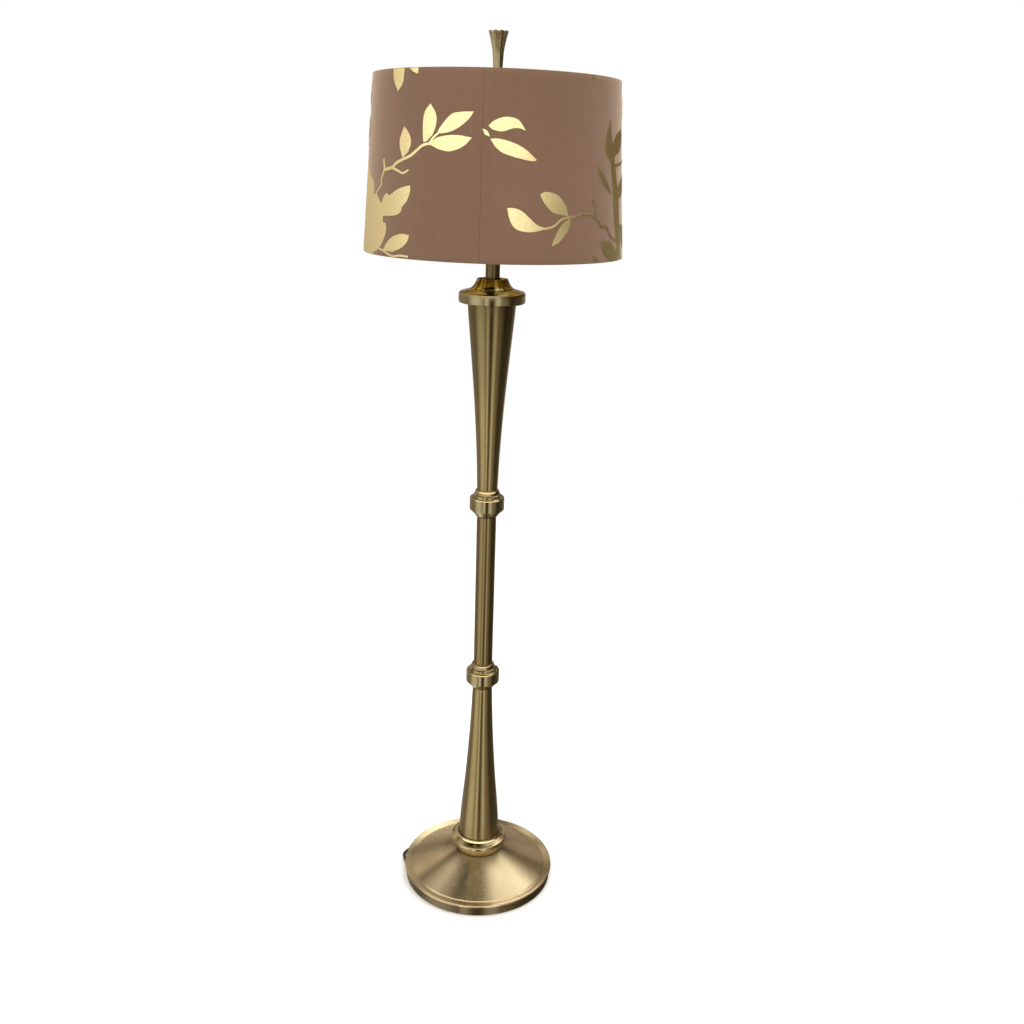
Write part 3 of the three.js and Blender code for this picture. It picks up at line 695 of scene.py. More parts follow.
def make_blade(side):
    """A flat blade with a narrowed end and the usual hole near it."""
    low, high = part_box(f"plug_blade_{side}")
    half = (high.z - low.z) / 2
    middle = (low.z + high.z) / 2
    outline = [(high.y + 2 * MM, half), (low.y + 2.2 * MM, half), (low.y, half - 1.6 * MM)]
    outline += [(y, -z) for y, z in reversed(outline)]
    count = len(outline)
    vertices = [(x, y, middle + z) for x in (low.x, high.x) for y, z in outline]
    faces = [tuple(range(count)), tuple(range(count, 2 * count))]
    faces += quads(2, count, rows_close=False)
    blade = mesh_piece(f"cord_blade_{side}", vertices, faces, PLAIN)
    origin = ((low.x + high.x) / 2, low.y + 4 * MM, middle)
    drill(blade, 1.6, (-3, 3), origin, (1, 0, 0), 24, 30)
    return place(blade, "stand", "plain_brass", f"plug_blade_{side}")


def make_cord():
    relief = make_strain_relief()
    tie = make_tie()
    plug = make_plug()
    inside = [exit_point - exit_direction * (RELIEF_INSIDE - 1), exit_point]
    route = [*inside, *lead_route(), *hank_turns(), *tail_route()]
    lead = wire("cord_whole", along(route), CORD * MM, RUBBER)
    place(lead, "stand", "black_rubber", "cord_lead", "cord_hank", "cord_tail")


make_cord()


# ---- floor, light and world

BACKDROP = 1.0
STRIP_LIGHT = (3.0, 2.9, 2.6)  # high on the wall, on the viewer's side
# Panels are (bearing on the brass, in degrees to the right of its front; brightness) stops.
WALL_PANELS = [
    (-180, 0.5), (-75, 0.4), (-61, 0.45), (-50, 0.4), (-45, 0.5), (-40, 0.9), (-34, 1.2),
    (-25, 1.2), (-19, 0.85), (-14, 0.5), (-11, 1.25), (-8, 1.2), (-5, 0.5), (-2, 0.06),
    (2, 0.04), (5, 0.35), (8, 1.1), (14, 1.1), (18, 0.45), (24, 0.42), (30, 0.25),
    (38, 0.05), (48, 0.12), (62, 0.14), (76, 0.35), (180, 0.5),
]
EYE_LEVEL_PANELS = [
    (-180, 0.5), (-90, 0.58), (-60, 0.72), (-45, 0.74), (-35, 0.92), (-28, 1.0), (-5, 1.0),
    (12, 1.0), (18, 0.45), (24, 0.15), (32, 0.09), (45, 0.08), (80, 0.08), (110, 0.25), (180, 0.5),
]
CEILING_PANELS = [
    (-180, 0.2), (-110, 0.1), (-100, 0.06), (-90, 0.26), (-80, 0.38), (-70, 0.46), (-60, 0.12),
    (-50, 0.58), (-40, 0.95), (-30, 0.44), (-20, 0.1), (-10, 0.03), (0, 0.01), (5, 0.06),
    (10, 1.0), (20, 2.4), (30, 2.4), (40, 2.0), (50, 2.0), (60, 0.75), (70, 0.2),
    (80, 0.08), (90, 0.3), (100, 0.36), (180, 0.2),
]


def panels(world, x, y, meeting, levels, warmth):
    """Light and dark panels whose edges all run to one far point, so they fan out on round brass.

    The dim panels are warmer than the bright ones.
    """
    bearing = maths(world, "ARCTAN2", x, maths(world, "SUBTRACT", meeting, y))
    ramp = node(world, "ValToRGB", {"Fac": spread(world, bearing, 0.0, 1.0, -pi, pi)})
    stops = ramp.color_ramp.elements
    while len(stops) < len(levels):
        stops.new(0.5)
    for stop, (degrees, level) in zip(stops, levels):
        stop.position = degrees / 360 + 0.5
        warm = warmth * (1 - min(level, 1))
        stop.color = (level, level * (1 - warm), level * (1 - 2.1 * warm), 1)
    return ramp.outputs["Color"]


def make_world():
    """A soft studio: pale all round to the eye, with light and dark panels to reflect."""
    world = bpy.data.worlds.new("studio")
    scene.world = world
    world.use_nodes = True
    world.node_tree.nodes.clear()
    way = out(world, "TexCoord", output="Generated")
    x, y, z = node(world, "SeparateXYZ", {0: way}).outputs
    walls = panels(world, x, y, 0.9, WALL_PANELS, 0.16)
    eye_level = panels(world, x, y, 0.95, EYE_LEVEL_PANELS, 0.38)
    ceiling = panels(world, x, y, 0.81, CEILING_PANELS, 0.16)
    back = spread(world, y, 0.3, 1.8, 0.1, 0.65)
    ceiling = out(world, "VectorMath", {0: ceiling, 3: back}, operation="SCALE")
    level = blend(world, spread(world, z, 0.0, 1.0, -0.1, 0.02), walls, eye_level)
    high = spread(world, z, 0.0, 1.0, 0.3, 0.36)
    front = spread(world, y, 1.0, 0.0, -0.1, 0.1)
    level = blend(world, maths(world, "MULTIPLY", high, front), level, STRIP_LIGHT)
    up = maths(world, "MULTIPLY_ADD", y, 0.4, z)
    level = blend(world, spread(world, up, 0.0, 1.0, 0.5, 0.62), level, ceiling)
    studio = out(world, "Background", {"Color": level})
    pale = out(world, "Background", {"Color": (BACKDROP, BACKDROP, BACKDROP, 1)})
    eye = out(world, "LightPath", output="Is Camera Ray")
    mix = out(world, "MixShader", {0: eye, 1: studio, 2: pale})
    node(world, "OutputWorld", {"Surface": mix})


def make_floor():
    """A pale floor that fades into the backdrop a few metres off. The brass doesn't reflect it."""
    mat = bpy.data.materials.new("pale floor")
    mat.use_nodes = True
    mat.node_tree.nodes.clear()
    where = out(mat, "TexCoord", output="Object")
    far = out(mat, "VectorMath", {0: where}, "Value", operation="LENGTH")
    fade = spread(mat, far, 0.0, 1.0, 1.2, 3.6)
    paper = out(mat, "BsdfDiffuse", {"Color": (0.86, 0.86, 0.86, 1)})
    mix = out(mat, "MixShader", {0: fade, 1: paper, 2: out(mat, "BsdfTransparent")})
    node(mat, "OutputMaterial", {"Surface": mix})
    size = 4
    corners = [(-size, -size, 0), (size, -size, 0), (size, size, 0), (-size, size, 0)]
    floor = mesh_piece("floor", corners, [(0, 1, 2, 3)], mat)
    floor.visible_glossy = False


def area_light(name, place_at, aim, size, power):
    data = bpy.data.lights.new(name, "AREA")
    data.shape = "RECTANGLE"
    data.size, data.size_y = size
    data.energy = power
    light = link(name, data)
    light.location = place_at
    light.rotation_mode = "QUATERNION"
    light.rotation_quaternion = (Vector(aim) - Vector(place_at)).to_track_quat("-Z", "Y")
    light.visible_glossy = False


scene.view_settings.view_transform = "Standard"
make_world()
make_floor()
area_light("top light", (0, 0.1, 3.4), (0, 0, 0), (2.6, 2.6), 62)
area_light("key light", (-1.9, -2.1, 2.3), (0, 0, 1.0), (0.9, 1.6), 7)
area_light("fill light", (2.4, -1.2, 1.7), (0, 0, 1.2), (0.9, 1.6), 13)


# ---- base


def make_base():
    """The spun brass cover: a rolled rim, a groove inside it, and a low cone."""
    rim = [(3, 0), (2.6, 16.1), (1.4, 16.9), (0.5, 17.8), (0, 19.5), (0.6, 21.7), (2.2, 22.6)]
    groove = [(6.8, 22), (11.5, 20.5), (13.2, 19.6), (14.6, 20), (16.2, 21.7)]
    cone = [(100.2, 59.7), (142.2, 59.7)]
    outside = rel("base_shell", rim + groove + cone)
    cover = turned("base_cover", walled(outside, SHEET, 1.6), BASE, 240)
    drill(cover, 4.5, (-14, 30), exit_point * MM, exit_direction, 32, 50)
    place(cover, "stand", "base_brass", "base_shell")

    edge = extent("base_felt")[0]
    felt = [(30, 0), (edge, 0), (edge - 0.3, 2), (30, 2)]
    pad = turned("base_felt_pad", rounded(felt, 0.5), FELT, MEDIUM)
    place(pad, "stand", "felt", "base_felt")


def make_collar():
    """The turned ring on the base: an ogee, a bead, a cove and a short socket for the column."""
    bottom = extent("base_collar")[1]
    ogee = smooth([(8.8, 0), (5.9, 4.2), (2.4, 10.1), (0.4, 16.3), (0, 20.3)], 3)
    bead = [(0.3, 22.6), (1.2, 24.4), (2.6, 25.6), (4.2, 25.9), (5.4, 25.9)]
    cove = smooth([(6.2, 26.4), (10.4, 28.7), (12.6, 31.4), (13.2, 33.5)], 3)
    outside = rel("base_collar", [*ogee, *bead, *cove, (15, 33.5)])
    bore = [(40.4, 27.7), (36.5, 27.7), (36.5, 25.3), (48, 23)]
    foot = [(51, 19), (49, 11), (43.4, 3), (5.6, 3), (5.6, 0)]
    inside = [(radius, bottom + height) for radius, height in bore + foot]
    piece = turned("base_ogee", [*rounded(outside, 0.4), *inside], COLLAR)
    place(piece, "stand", "antique_brass", "base_collar")


make_base()
make_collar()


# ---- column


def make_shafts():
    """The three lengths of the column: a flaring foot, a straight middle and a flaring top."""
    foot = [(0, 0), (2.9, 47.7), (7.8, 102.7), (12.3, 156.7), (16, 210.7), (18.9, 263.7)]
    foot.append((21.3, 324.9))
    top = [(23, 0), (20.7, 65.2), (15.3, 153.2), (8.1, 238.2), (2.1, 303.2), (0.1, 328.2)]
    top.append((0, 354.2))
    radius, low, high = extent("middle_column")
    shafts = (
        ("lower", smooth(rel("lower_column", foot), 6), ANTIQUE),
        ("middle", [(radius, low), (radius, high)], DEEP),
        ("upper", smooth(rel("upper_column", top), 6), ANTIQUE),
    )
    for name, outside, material in shafts:
        piece = turned(f"{name}_shaft", walled(outside, SHEET), material)
        place(piece, "stand", "antique_brass", f"{name}_column")


def make_couplings():
    """The ring where two lengths of the column meet: a drum with a small cup on top."""
    drum = [(12.7, 10), (7.2, 17.4), (1, 23.2), (0, 24.6), (0, 45.2), (0.8, 46.8)]
    cup = [(4.4, 46.2), (6, 47), (6.4, 51.4), (8.4, 53.4), (9.2, 57.4), (10.8, 60.5)]
    for level, below, above in (("lower", 17, 16.1), ("upper", 16.1, 16.8)):
        node_name = f"{level}_coupling"
        bottom, top = extent(node_name)[1:]
        outside = rel(node_name, [*drum, *cup])
        ends = [(above, outside[-1][1]), (above, top), (14, top), (14, top - 13)]
        bore = [(23, 47), (29, 44.4), (29, 25.6), (22.6, 19)]
        start = [(14.6, 13), (14.6, 0), (below, 0), (below, 10)]
        inside = [(radius, bottom + height) for radius, height in bore + start]
        outline = [*rounded([*outside, ends[0]], 0.5, 4), *ends[1:], *inside]
        piece = turned(f"{level}_ring", outline, RINGS)
        place(piece, "stand", "antique_brass", node_name)


def make_cap():
    """The wide cap on the column: a brushed rim, a polished cone, and the neck above it."""
    rim = [(15.6, 0), (2.9, 0), (0.8, 1.1), (0, 3.4), (0, 14.6), (0.7, 17.4), (2.9, 19.4)]
    rim += [(9.5, 21.2), (19.3, 24), (51.9, 24)]
    piece = turned("cap_rim", walled(rel("cap_flange", rim), 1.6, 0.8), RINGS)
    place(piece, "stand", "antique_brass", "cap_flange")

    flare = smooth([(0, 0), (4.4, 3.7), (8.4, 9.9), (10.4, 14.5)], 4)
    outside = rel("cap_cone", [*flare, (11, 16.5), (12.6, 16.5), (12.8, 13.3), (32, 13.3)])
    cone = turned("cap_top", walled(outside, 1.3, 0.35), POLISHED)
    place(cone, "stand", "polished_brass", "cap_cone")

    radius, bottom, top = extent("neck_tube")
    tube = walled([(radius, bottom), (radius, top)], SHEET)
    place(turned("neck", tube, ANTIQUE, MEDIUM), "stand", "antique_brass", "neck_tube")
    washer = ring_outline(5.6, *extent("neck_plate"), 0.8)
    place(turned("neck_washer", washer, PLAIN, MEDIUM), "stand", "plain_brass", "neck_plate")


make_shafts()
make_couplings()
make_cap()


# ---- lamp holder


def thread(pitch, depth, bottom, top, core=0):
    """A warp that cuts a screw thread into the outside of a turned piece, beyond its core."""

    def warp(angle, radius, height):
        share = (angle / (2 * pi) + height / pitch) % 1
        ends = min((height - bottom) / pitch, (top - height) / pitch)
        if ends > 0 and radius > core:
            radius -= depth * min(ends, 1) * (1 + cos(2 * pi * share)) / 2
        return radius, height

    return warp


STUD_THREADS = 27  # to the inch
BULB_THREADS = 7


def make_harp():
    """The wire loop that carries the shade, its boss and its threaded stud."""
    width, foot, boss = extent("harp")
    leg, bulge = 34.8, width - 1.6
    side = [
        (leg, 0), (leg, 14), (leg, 28), (42, 50), (53, 80),
        (bulge, 112), (54, 150), (43, 188), (26, 214), (12, boss - foot - 3.4),
    ]
    mirrored = [(-x, height) for x, height in reversed(side)]
    route = [(x, 0, foot + height) for x, height in side + mirrored]
    loop = wire("harp_wire", along(smooth(route, 5)), 3.2 * MM, PLAIN)
    place(loop, "stand", "plain_brass", "harp")
    disc = ring_outline(0, 9, boss - 4, boss, 0.7)
    place(turned("harp_boss", disc, PLAIN, MEDIUM), "stand", "plain_brass")

    radius, bottom, top = extent("harp_stud")
    pitch = INCH / STUD_THREADS / MM
    steps = int((top - bottom) / INCH * MM * STUD_THREADS * 7)
    outside = [(radius, bottom + (top - bottom) * i / steps) for i in range(1, steps)]
    outline = [(0, bottom), (radius - 0.5, bottom), *outside, (radius - 0.6, top), (0, top)]
    screw = thread(pitch, 0.45, bottom + 0.5, top - 0.5)
    place(turned("harp_screw", outline, PLAIN, 32, screw), "stand", "plain_brass", "harp_stud")

    barrel = [(4.6, 0), (6.4, 0), (6.4, 2), (5.6, 3), (5.6, 11), (5.2, 12), (4.6, 12)]
    for side_name in ("left", "right"):
        node_name = f"harp_sleeve_{side_name}"
        low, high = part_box(node_name)
        piece = turned(f"sleeve_{side_name}", rounded(barrel, 0.35), PLAIN, SMALL)
        piece.location = ((low.x + high.x) / 2, 0, low.z)
        place(piece, f"{side_name}_sleeve", "plain_brass", node_name)


def make_socket():
    """The lamp holder: a spun cap, and a shell with two pressed rings and a hole for the spindle."""
    bottom = extent("socket_cap")[1]
    dome = [(5.45, 0), (8.6, 0), (9.4, 2.8), (12.6, 3.4), (15.4, 4.6), (16.9, 6.6), (17.4, 8.6)]
    dome.append((17.4, 14.4))
    inside = [(16.5, 14.4), (16.5, 9.2), (15, 6), (9.2, 4.4), (8.2, 9.2), (5.45, 9.2)]
    outline = [(r, bottom + z) for r, z in [*rounded(dome, 0.5), *inside]]
    place(turned("holder_cap", outline, PLAIN, MEDIUM), "stand", "plain_brass", "socket_cap")

    bottom, top = extent("socket_shell")[1:]
    outside = [(16.1, bottom), (16.1, bottom + 21)]
    for start in (bottom + 22, bottom + 30):
        outside += [(16.1, start), (16.8, start + 1), (16.8, start + 2), (16.1, start + 3)]
    outside += [(16.1, top - 0.5), (15.9, top), (15.3, top)]
    shell = turned("holder_shell", [*rounded(outside, 0.4), (15.3, bottom)], PLAIN, MEDIUM)
    low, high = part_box("switch_spindle")
    drill(shell, 3, (-8, 8), (0, -16 * MM, (low.z + high.z) / 2), (0, -1, 0), 32, 40)
    place(shell, "stand", "plain_brass", "socket_shell")


def make_knob():
    """The turn knob of the switch, ribbed for the fingers."""

    def ribs(angle, radius, height):
        if radius > 5.5:
            radius *= 1 + 0.035 * (cos(16 * angle) - 1)
        return radius, height

    low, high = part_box("switch_knob")
    outline = [(0, 0), (4.6, 0), (6.2, 2.6), (6.2, 11.4), (5.4, 13), (3.2, 13), (2.6, 12.4), (0, 12.4)]
    piece = turned("knob", rounded(outline, 0.5), PHENOLIC, MEDIUM, ribs)
    piece.matrix_world = aimed((0, high.y, (low.z + high.z) / 2), (0, -1, 0))
    place(piece, "switch_key", "phenolic", "switch_knob")


def make_bulb():
    """A soft white bulb with a screw base."""
    widest, bottom, top = extent("bulb_glass")
    neck = [(11.7, bottom), (11.7, bottom + 10), (12, bottom + 14.4)]
    sides = [(13.4, 18), (19.5, 35), (27.4, 51), (widest, 65), (26.6, 83), (16.5, 95.6)]
    pear = smooth([*((radius, bottom + height) for radius, height in sides), (0, top)], 6)
    inside = [(max(r - 0.8, 0), z - 0.8 * (z > bottom + 65)) for r, z in reversed(pear)]
    outline = [*neck, *pear, *inside, (11, bottom + 14.4), (10.9, bottom)]
    place(turned("bulb_globe", outline, GLASS, MEDIUM), "bulb", "frosted_glass", "bulb_glass")

    bottom, top = extent("bulb_base")[1:]
    steps = 44
    rise = top - bottom - 5.5
    screw = [(12.9, bottom + 5 + rise * i / steps) for i in range(steps + 1)]
    shell = [(0, bottom), (4.8, bottom), (9, bottom + 2.2), (12.2, bottom + 4.4), *screw]
    inside = [(12, top), (11.8, bottom + 5.4), (4.6, bottom + 0.9), (0, bottom + 0.9)]
    warp = thread(INCH / BULB_THREADS / MM, 0.75, bottom + 5, top, core=12.5)
    piece = turned("bulb_screw", [*shell, *inside], STEEL, MEDIUM, warp)
    place(piece, "bulb", "steel", "bulb_base")


make_harp()
make_socket()
make_knob()
make_bulb()


# ---- shade

SHADE_WIDE, SHADE_FOOT, shade_top = extent("shade_fabric")
SHADE_HEIGHT = shade_top - SHADE_FOOT
TAPER = 17.5  # how much less the shade's radius is at its upper rim
SHADE_NARROW = SHADE_WIDE - TAPER
SHADE_MEAN = (SHADE_WIDE + SHADE_NARROW) / 2
SEAM = -5.5  # degrees from the front
TURN_IN = 9  # of the cover, over each rim
PILE = 0.6  # thickness of the velvet


def shade_radius(height):
    """The outside radius of the shade, so far above its lower rim."""
    return SHADE_WIDE + (SHADE_NARROW - SHADE_WIDE) * height / SHADE_HEIGHT


def from_seam(degrees):
    """Degrees to the right of the seam, from -180 to 180."""
    return (degrees - SEAM + 180) % 360 - 180


def seam_relief(degrees):
    """How far the cover stands out near its seam: a fold, a fine groove, and the lap beside it."""
    away = from_seam(degrees)
    groove = -0.75 * math.exp(-((away / 0.19) ** 2))
    fold = 0.35 * math.exp(-(((away - 0.55) / 0.4) ** 2))
    lap = 0.3 * ease((3.4 - away) / 0.6) if away > 0 else 0
    return groove + fold + lap


def sag(height):
    """How far taut cloth pulls in between the rims."""
    return 0.5 * sin(pi * height / SHADE_HEIGHT)


def cloth_profile():
    """The cover from inside the lower rim, round it, up the outside and in over the top."""
    top = SHADE_HEIGHT
    lower, upper = 0.8, top - 0.8
    rows = 34
    outside = []
    for i in range(rows + 1):
        height = lower + (upper - lower) * i / rows
        outside.append((shade_radius(height), height))
    # each turned-in edge is (the height whose radius it takes, its inset, its own height)
    foot = [(TURN_IN, 2.6, TURN_IN), (2.5, 2.5, 2.5), (0, 2.1, 0.8), (0, 1.2, 0.1), (0, 0.4, 0.15)]
    head = [(0, 0.4, 0.15), (0, 1.2, 0.1), (0, 2.1, 0.8), (0, 2.5, 2.5), (TURN_IN, 2.6, TURN_IN)]
    turned_in_foot = [(shade_radius(level) - inset, height) for level, inset, height in foot]
    turned_in_head = [(shade_radius(top - level) - inset, top - height) for level, inset, height in head]
    return [*turned_in_foot, *outside, *turned_in_head]


def make_velvet():
    """The velvet cover, stretched over both rims and lapped at its seam."""
    profile = cloth_profile()
    coarse, fine, seam_reach = 1.5, 0.11, 4.5  # steps in degrees, and how far the fine ones go
    angles = [i * coarse for i in range(240)]
    angles = [a for a in angles if abs(from_seam(a)) > seam_reach]
    angles = sorted(angles + [SEAM % 360 + i * fine for i in range(-40, 41)])
    vertices = []
    for degrees in angles:
        angle = radians(degrees)
        for radius, height in profile:
            # the rims aren't quite round
            pull = 0.18 * sin(5 * angle + 0.6) * cos(pi * height / SHADE_HEIGHT) ** 2
            reach = radius - sag(height) + pull + seam_relief(degrees)
            z = SHADE_FOOT + height
            vertices.append((reach * sin(angle) * MM, -reach * cos(angle) * MM, z * MM))
    faces = quads(len(angles), len(profile), columns_close=False)
    piece = mesh_piece("shade_velvet", vertices, faces, VELVET)
    thick = piece.modifiers.new("pile", "SOLIDIFY")
    thick.thickness = PILE * MM
    thick.offset = -1
    place(piece, "shade", "shade_velvet", "shade_fabric")


def make_lining():
    """The stiff liner behind the velvet, the two wire rings, the hub and its three arms."""
    wide, bottom, top = extent("shade_liner")
    narrow, thick = wide - TAPER, 1.0
    outline = [(wide - thick, bottom), (wide, bottom), (narrow, top), (narrow - thick, top)]
    lining = turned("shade_lining", outline, LINER, 192)
    place(lining, "shade", "shade_liner", "shade_liner")
    for level in ("top", "bottom"):
        outer, bottom, top = extent(f"shade_{level}_ring")
        radius = (top - bottom) / 2
        circle = []
        for i in range(12):
            angle = 2 * pi * i / 12
            circle.append((outer - radius + radius * cos(angle), bottom + radius + radius * sin(angle)))
        ring = turned(f"shade_ring_{level}", circle, WHITE_WIRE, 192)
        place(ring, "shade", "white_wire", f"shade_{level}_ring")
    hub, bottom, top = extent("spider_hub")
    plate = ring_outline(3.6, hub, bottom, top, 0.5)
    place(turned("spider_plate", plate, PLAIN, MEDIUM), "shade", "plain_brass", "spider_hub")
    middle = (bottom + top) / 2
    rim, rim_top = extent("shade_top_ring")[::2]
    route = [(10, middle), (60, middle), (120, middle + 0.2), (160, middle + 1.4), (180, middle + 8)]
    route.append((rim - 4.8, rim_top - 1.7))
    for number, bearing in enumerate((90, 210, 330), start=1):
        angle = radians(bearing)
        points = [(r * cos(angle), r * sin(angle), z) for r, z in route]
        arm = wire(f"spider_wire_{number}", along(smooth(points, 5)), 3 * MM, WHITE_WIRE)
        place(arm, "shade", "white_wire", f"spider_arm_{number}")


make_velvet()
make_lining()


# ---- gold leaves on the shade


def on_cloth(degrees, height):
    """A point on the shade as if it were rolled out flat, in millimetres."""
    return Vector((radians(degrees) * SHADE_MEAN, height))


def edge(*points):
    """A smooth edge through (degrees, height) points, without the last of them."""
    return smooth([on_cloth(*p) for p in points], 5)[:-1]


def patch(*sides):
    """A closed outline of smooth sides that meet at corners, each of (degrees, height) points.

    Each side starts where the one before it ends.
    """
    outline = []
    corner = []
    for side in sides:
        outline += edge(*corner, *side)
        corner = side[-1:]
    last = on_cloth(*corner[0])
    return outline if (last - outline[0]).length < 0.1 else [*outline, last]


def twig(route, first_width, last_width):
    """A stalk along (degrees, height) points, tapering from one width to the other."""
    path = smooth([on_cloth(*p) for p in route], 4)
    left, right = [], []
    for i, point in enumerate(path):
        before = path[max(i - 1, 0)]
        after = path[min(i + 1, len(path) - 1)]
        ahead = (after - before).normalized()
        side = Vector((-ahead.y, ahead.x))
        share = i / (len(path) - 1)
        half = (first_width + (last_width - first_width) * share) / 2
        left.append(point + side * half)
        right.append(point - side * half)
    return [*left, *reversed(right)]


UPPER_SPRAY = [  # the branch left of the seam, with its four leaves
    patch(
        [(-31.5, 171), (-32, 191), (-31.5, 212), (-28.7, 225)],
        [(-26.2, 213), (-25.5, 200), (-27, 183), (-30, 172)],
    ),
    patch(
        [(-25.7, 180), (-23.4, 194), (-19.1, 210), (-15.2, 214), (-9.4, 215)],
        [(-11.3, 205), (-15.4, 193), (-19.7, 186), (-25, 183)],
    ),
    patch(
        [(-28.5, 168), (-25.5, 177), (-21, 181), (-15.8, 182), (-9.9, 179)],
        [(-12.5, 169), (-16, 162), (-20, 159), (-24.4, 162)],
    ),
    patch(
        [(-42.6, 148), (-44.4, 163), (-44.6, 176), (-42.3, 193)],
        [(-39.3, 183), (-38, 170), (-39.3, 157)],
    ),
    twig([(-62, 94), (-57, 108), (-57.4, 114), (-54.9, 129), (-52, 132)], 2.8, 4.4),
    twig(
        [
            (-54.5, 130), (-48.8, 134), (-46.5, 140), (-42.2, 146), (-37.7, 152), (-34.1, 161),
            (-31.5, 167), (-27.5, 170),
        ],
        5, 3.6,
    ),
    twig([(-28.6, 168), (-26.9, 177), (-24.6, 184)], 3.6, 3),
    twig([(-54.9, 129), (-55.2, 137), (-55.9, 146)], 5.4, 3.8),
    twig([(-49.8, 134), (-45.7, 130), (-41.9, 126), (-38.8, 131)], 4.4, 2.6),
]
LEFT_CLUSTER = [  # the large lobed leaves at the left-hand end of that branch
    patch(
        [(-61.5, 95), (-58, 84), (-56.3, 79)],
        [(-54.6, 90), (-52.4, 96)],
        [(-50.8, 93), (-49.8, 93)],
        [(-45.5, 101), (-41.5, 106), (-37.6, 109)],
        [(-37.4, 100), (-39, 86), (-41.6, 77)],
        [(-42, 71), (-43.6, 66), (-47, 63), (-54.3, 61)],
        [(-54, 52), (-51.9, 50), (-51.5, 37), (-54.3, 19), (-58, 8)],
        [(-60, 6), (-63, 1), (-67, 1)],
        [(-74, 2), (-82, 8), (-87, 20)],
        [(-83, 32), (-78, 42), (-75, 48)],
        [(-82, 48), (-89, 54), (-94, 68)],
        [(-88, 80), (-81, 87), (-76.5, 90)],
        [(-81.5, 100), (-82, 116), (-75.5, 138)],
        [(-71, 122), (-66.5, 114), (-64.6, 103), (-64.6, 91)],
    ),
    patch(
        [(-53.2, 9), (-50.3, 22), (-46.3, 32), (-41.5, 37), (-36.9, 36)],
        [(-37.9, 26), (-41.1, 16), (-46, 9)],
    ),
    twig([(-58.5, 13), (-53, 9), (-49.2, 5), (-46, 2.4), (-41.5, 4.4), (-37, 4)], 3, 3),
]
RIGHT_PAIR = [  # two loose leaves and a bud, right of the seam
    patch([(-5.7, 192), (-3.6, 189), (-2.5, 181)], [(-4.7, 184)]),
    patch(
        [(-3.3, 196), (-1.1, 203), (2.2, 208), (5.4, 209), (9.2, 205), (12.2, 191)],
        [(9.6, 194), (6.7, 193.5), (3.9, 190), (1.5, 189), (-1.4, 191)],
    ),
    patch(
        [(-2.3, 178), (0.3, 179), (4, 177), (8.5, 172), (12.7, 164), (17, 151)],
        [(15.6, 149), (11.5, 151), (6.6, 155), (2.5, 160), (-0.4, 168)],
    ),
]
LOWER_SPRAY = [  # the branch that comes in from the right
    patch(
        [(22, 54), (17.9, 58), (14.5, 68), (11.1, 78), (7.8, 82), (5.1, 82)],
        [(6.3, 65), (8.2, 54), (11.3, 49), (15.4, 48), (19.7, 51)],
    ),
    patch(
        [(32, 71), (30.6, 86), (27.8, 99), (24.3, 105), (20.7, 106), (18.7, 102)],
        [(19.9, 94), (21.9, 85), (24.4, 77), (28.2, 74)],
    ),
    patch(
        [(32.8, 69), (32.4, 56), (30.2, 44), (27.6, 34), (24, 27)],
        [(24.8, 36), (27.1, 52), (29.7, 63)],
    ),
    twig(
        [(20.5, 52.5), (25, 57), (28.2, 66), (32.1, 70), (35.2, 71), (39.6, 76), (45.7, 74)],
        3.4, 3.2,
    ),
    twig([(44.5, 75), (48.7, 66), (51.3, 56), (55.4, 55), (59.1, 41), (64.7, 32)], 3.4, 3.6),
    twig([(47, 72), (47.7, 82), (46.6, 91), (44.8, 97)], 3.6, 2.6),
]
RIGHT_STEM = [  # the stout stem round the right-hand side, with its leaves
    [
        *edge((59, 212), (59.6, 155), (62, 110), (63, 72), (65, 41), (68, 0)),
        *edge((73, 0), (71.5, 48), (70.4, 72), (69, 110), (64.7, 133), (61, 160), (59.6, 212)),
        on_cloth(59.6, 212),
    ],
    patch(
        [(58.5, 155), (61.3, 174), (60.7, 192), (58.4, 207)],
        [(56.1, 193), (54.8, 177), (55.2, 165)],
    ),
    patch([(60.5, 104), (55.6, 125), (52.3, 137), (48.9, 144)], [(50.2, 130), (53.2, 118)]),
    patch([(68, 0), (67, 10), (62.3, 25), (57.2, 32), (51.2, 33)], [(52.3, 20), (56.3, 6), (58, 0)]),
    patch([(45.4, 11), (47.8, 8), (48.8, 0)], [(46.6, 4)]),
    patch([(67, 94), (68.5, 110), (74, 126), (84, 135)], [(84.5, 121), (79, 105), (67, 94)]),
    patch([(70, 56), (79, 54), (86, 38), (88, 14)], [(78, 22), (71.5, 38), (70, 56)]),
    patch([(60.8, 157), (61.5, 176), (67, 194), (76, 203)], [(77, 187), (72, 170), (60.8, 157)]),
    twig([(61.5, 146), (70, 149), (80, 154), (89, 161), (95.5, 172)], 4.6, 3),
    patch([(95.5, 170), (92, 182), (92.5, 196), (98, 210)], [(102.5, 196), (101.5, 180), (95.5, 170)]),
]
TOP_LEAVES = [  # cut off by the upper rim
    patch([(-51, 280), (-50.4, 260), (-47.2, 242)], [(-44, 255), (-43.3, 280)]),
    patch([(-42, 280), (-38.6, 270), (-35.5, 266)], [(-35.2, 280)]),
    patch([(44, 280), (46.5, 269), (49, 280)]),
]
LOOSE_LEAVES = [  # one leaf, which fills the turn between one set and the next
    patch([(82, 218), (83, 238), (88, 253), (98, 264)], [(99.5, 246), (94, 229), (82, 218)]),
]
REPEATS = (0, 180)  # degrees round the shade
LAYER = 0.03  # what each outline adds, so that where two cross one lies on the other
PROUD = 0.3  # of the foil, above the velvet
RIM_MARGIN = 0.9  # of velvet between the foil and the rims
STRIP = 4  # width of the strips that bend the foil round the shade


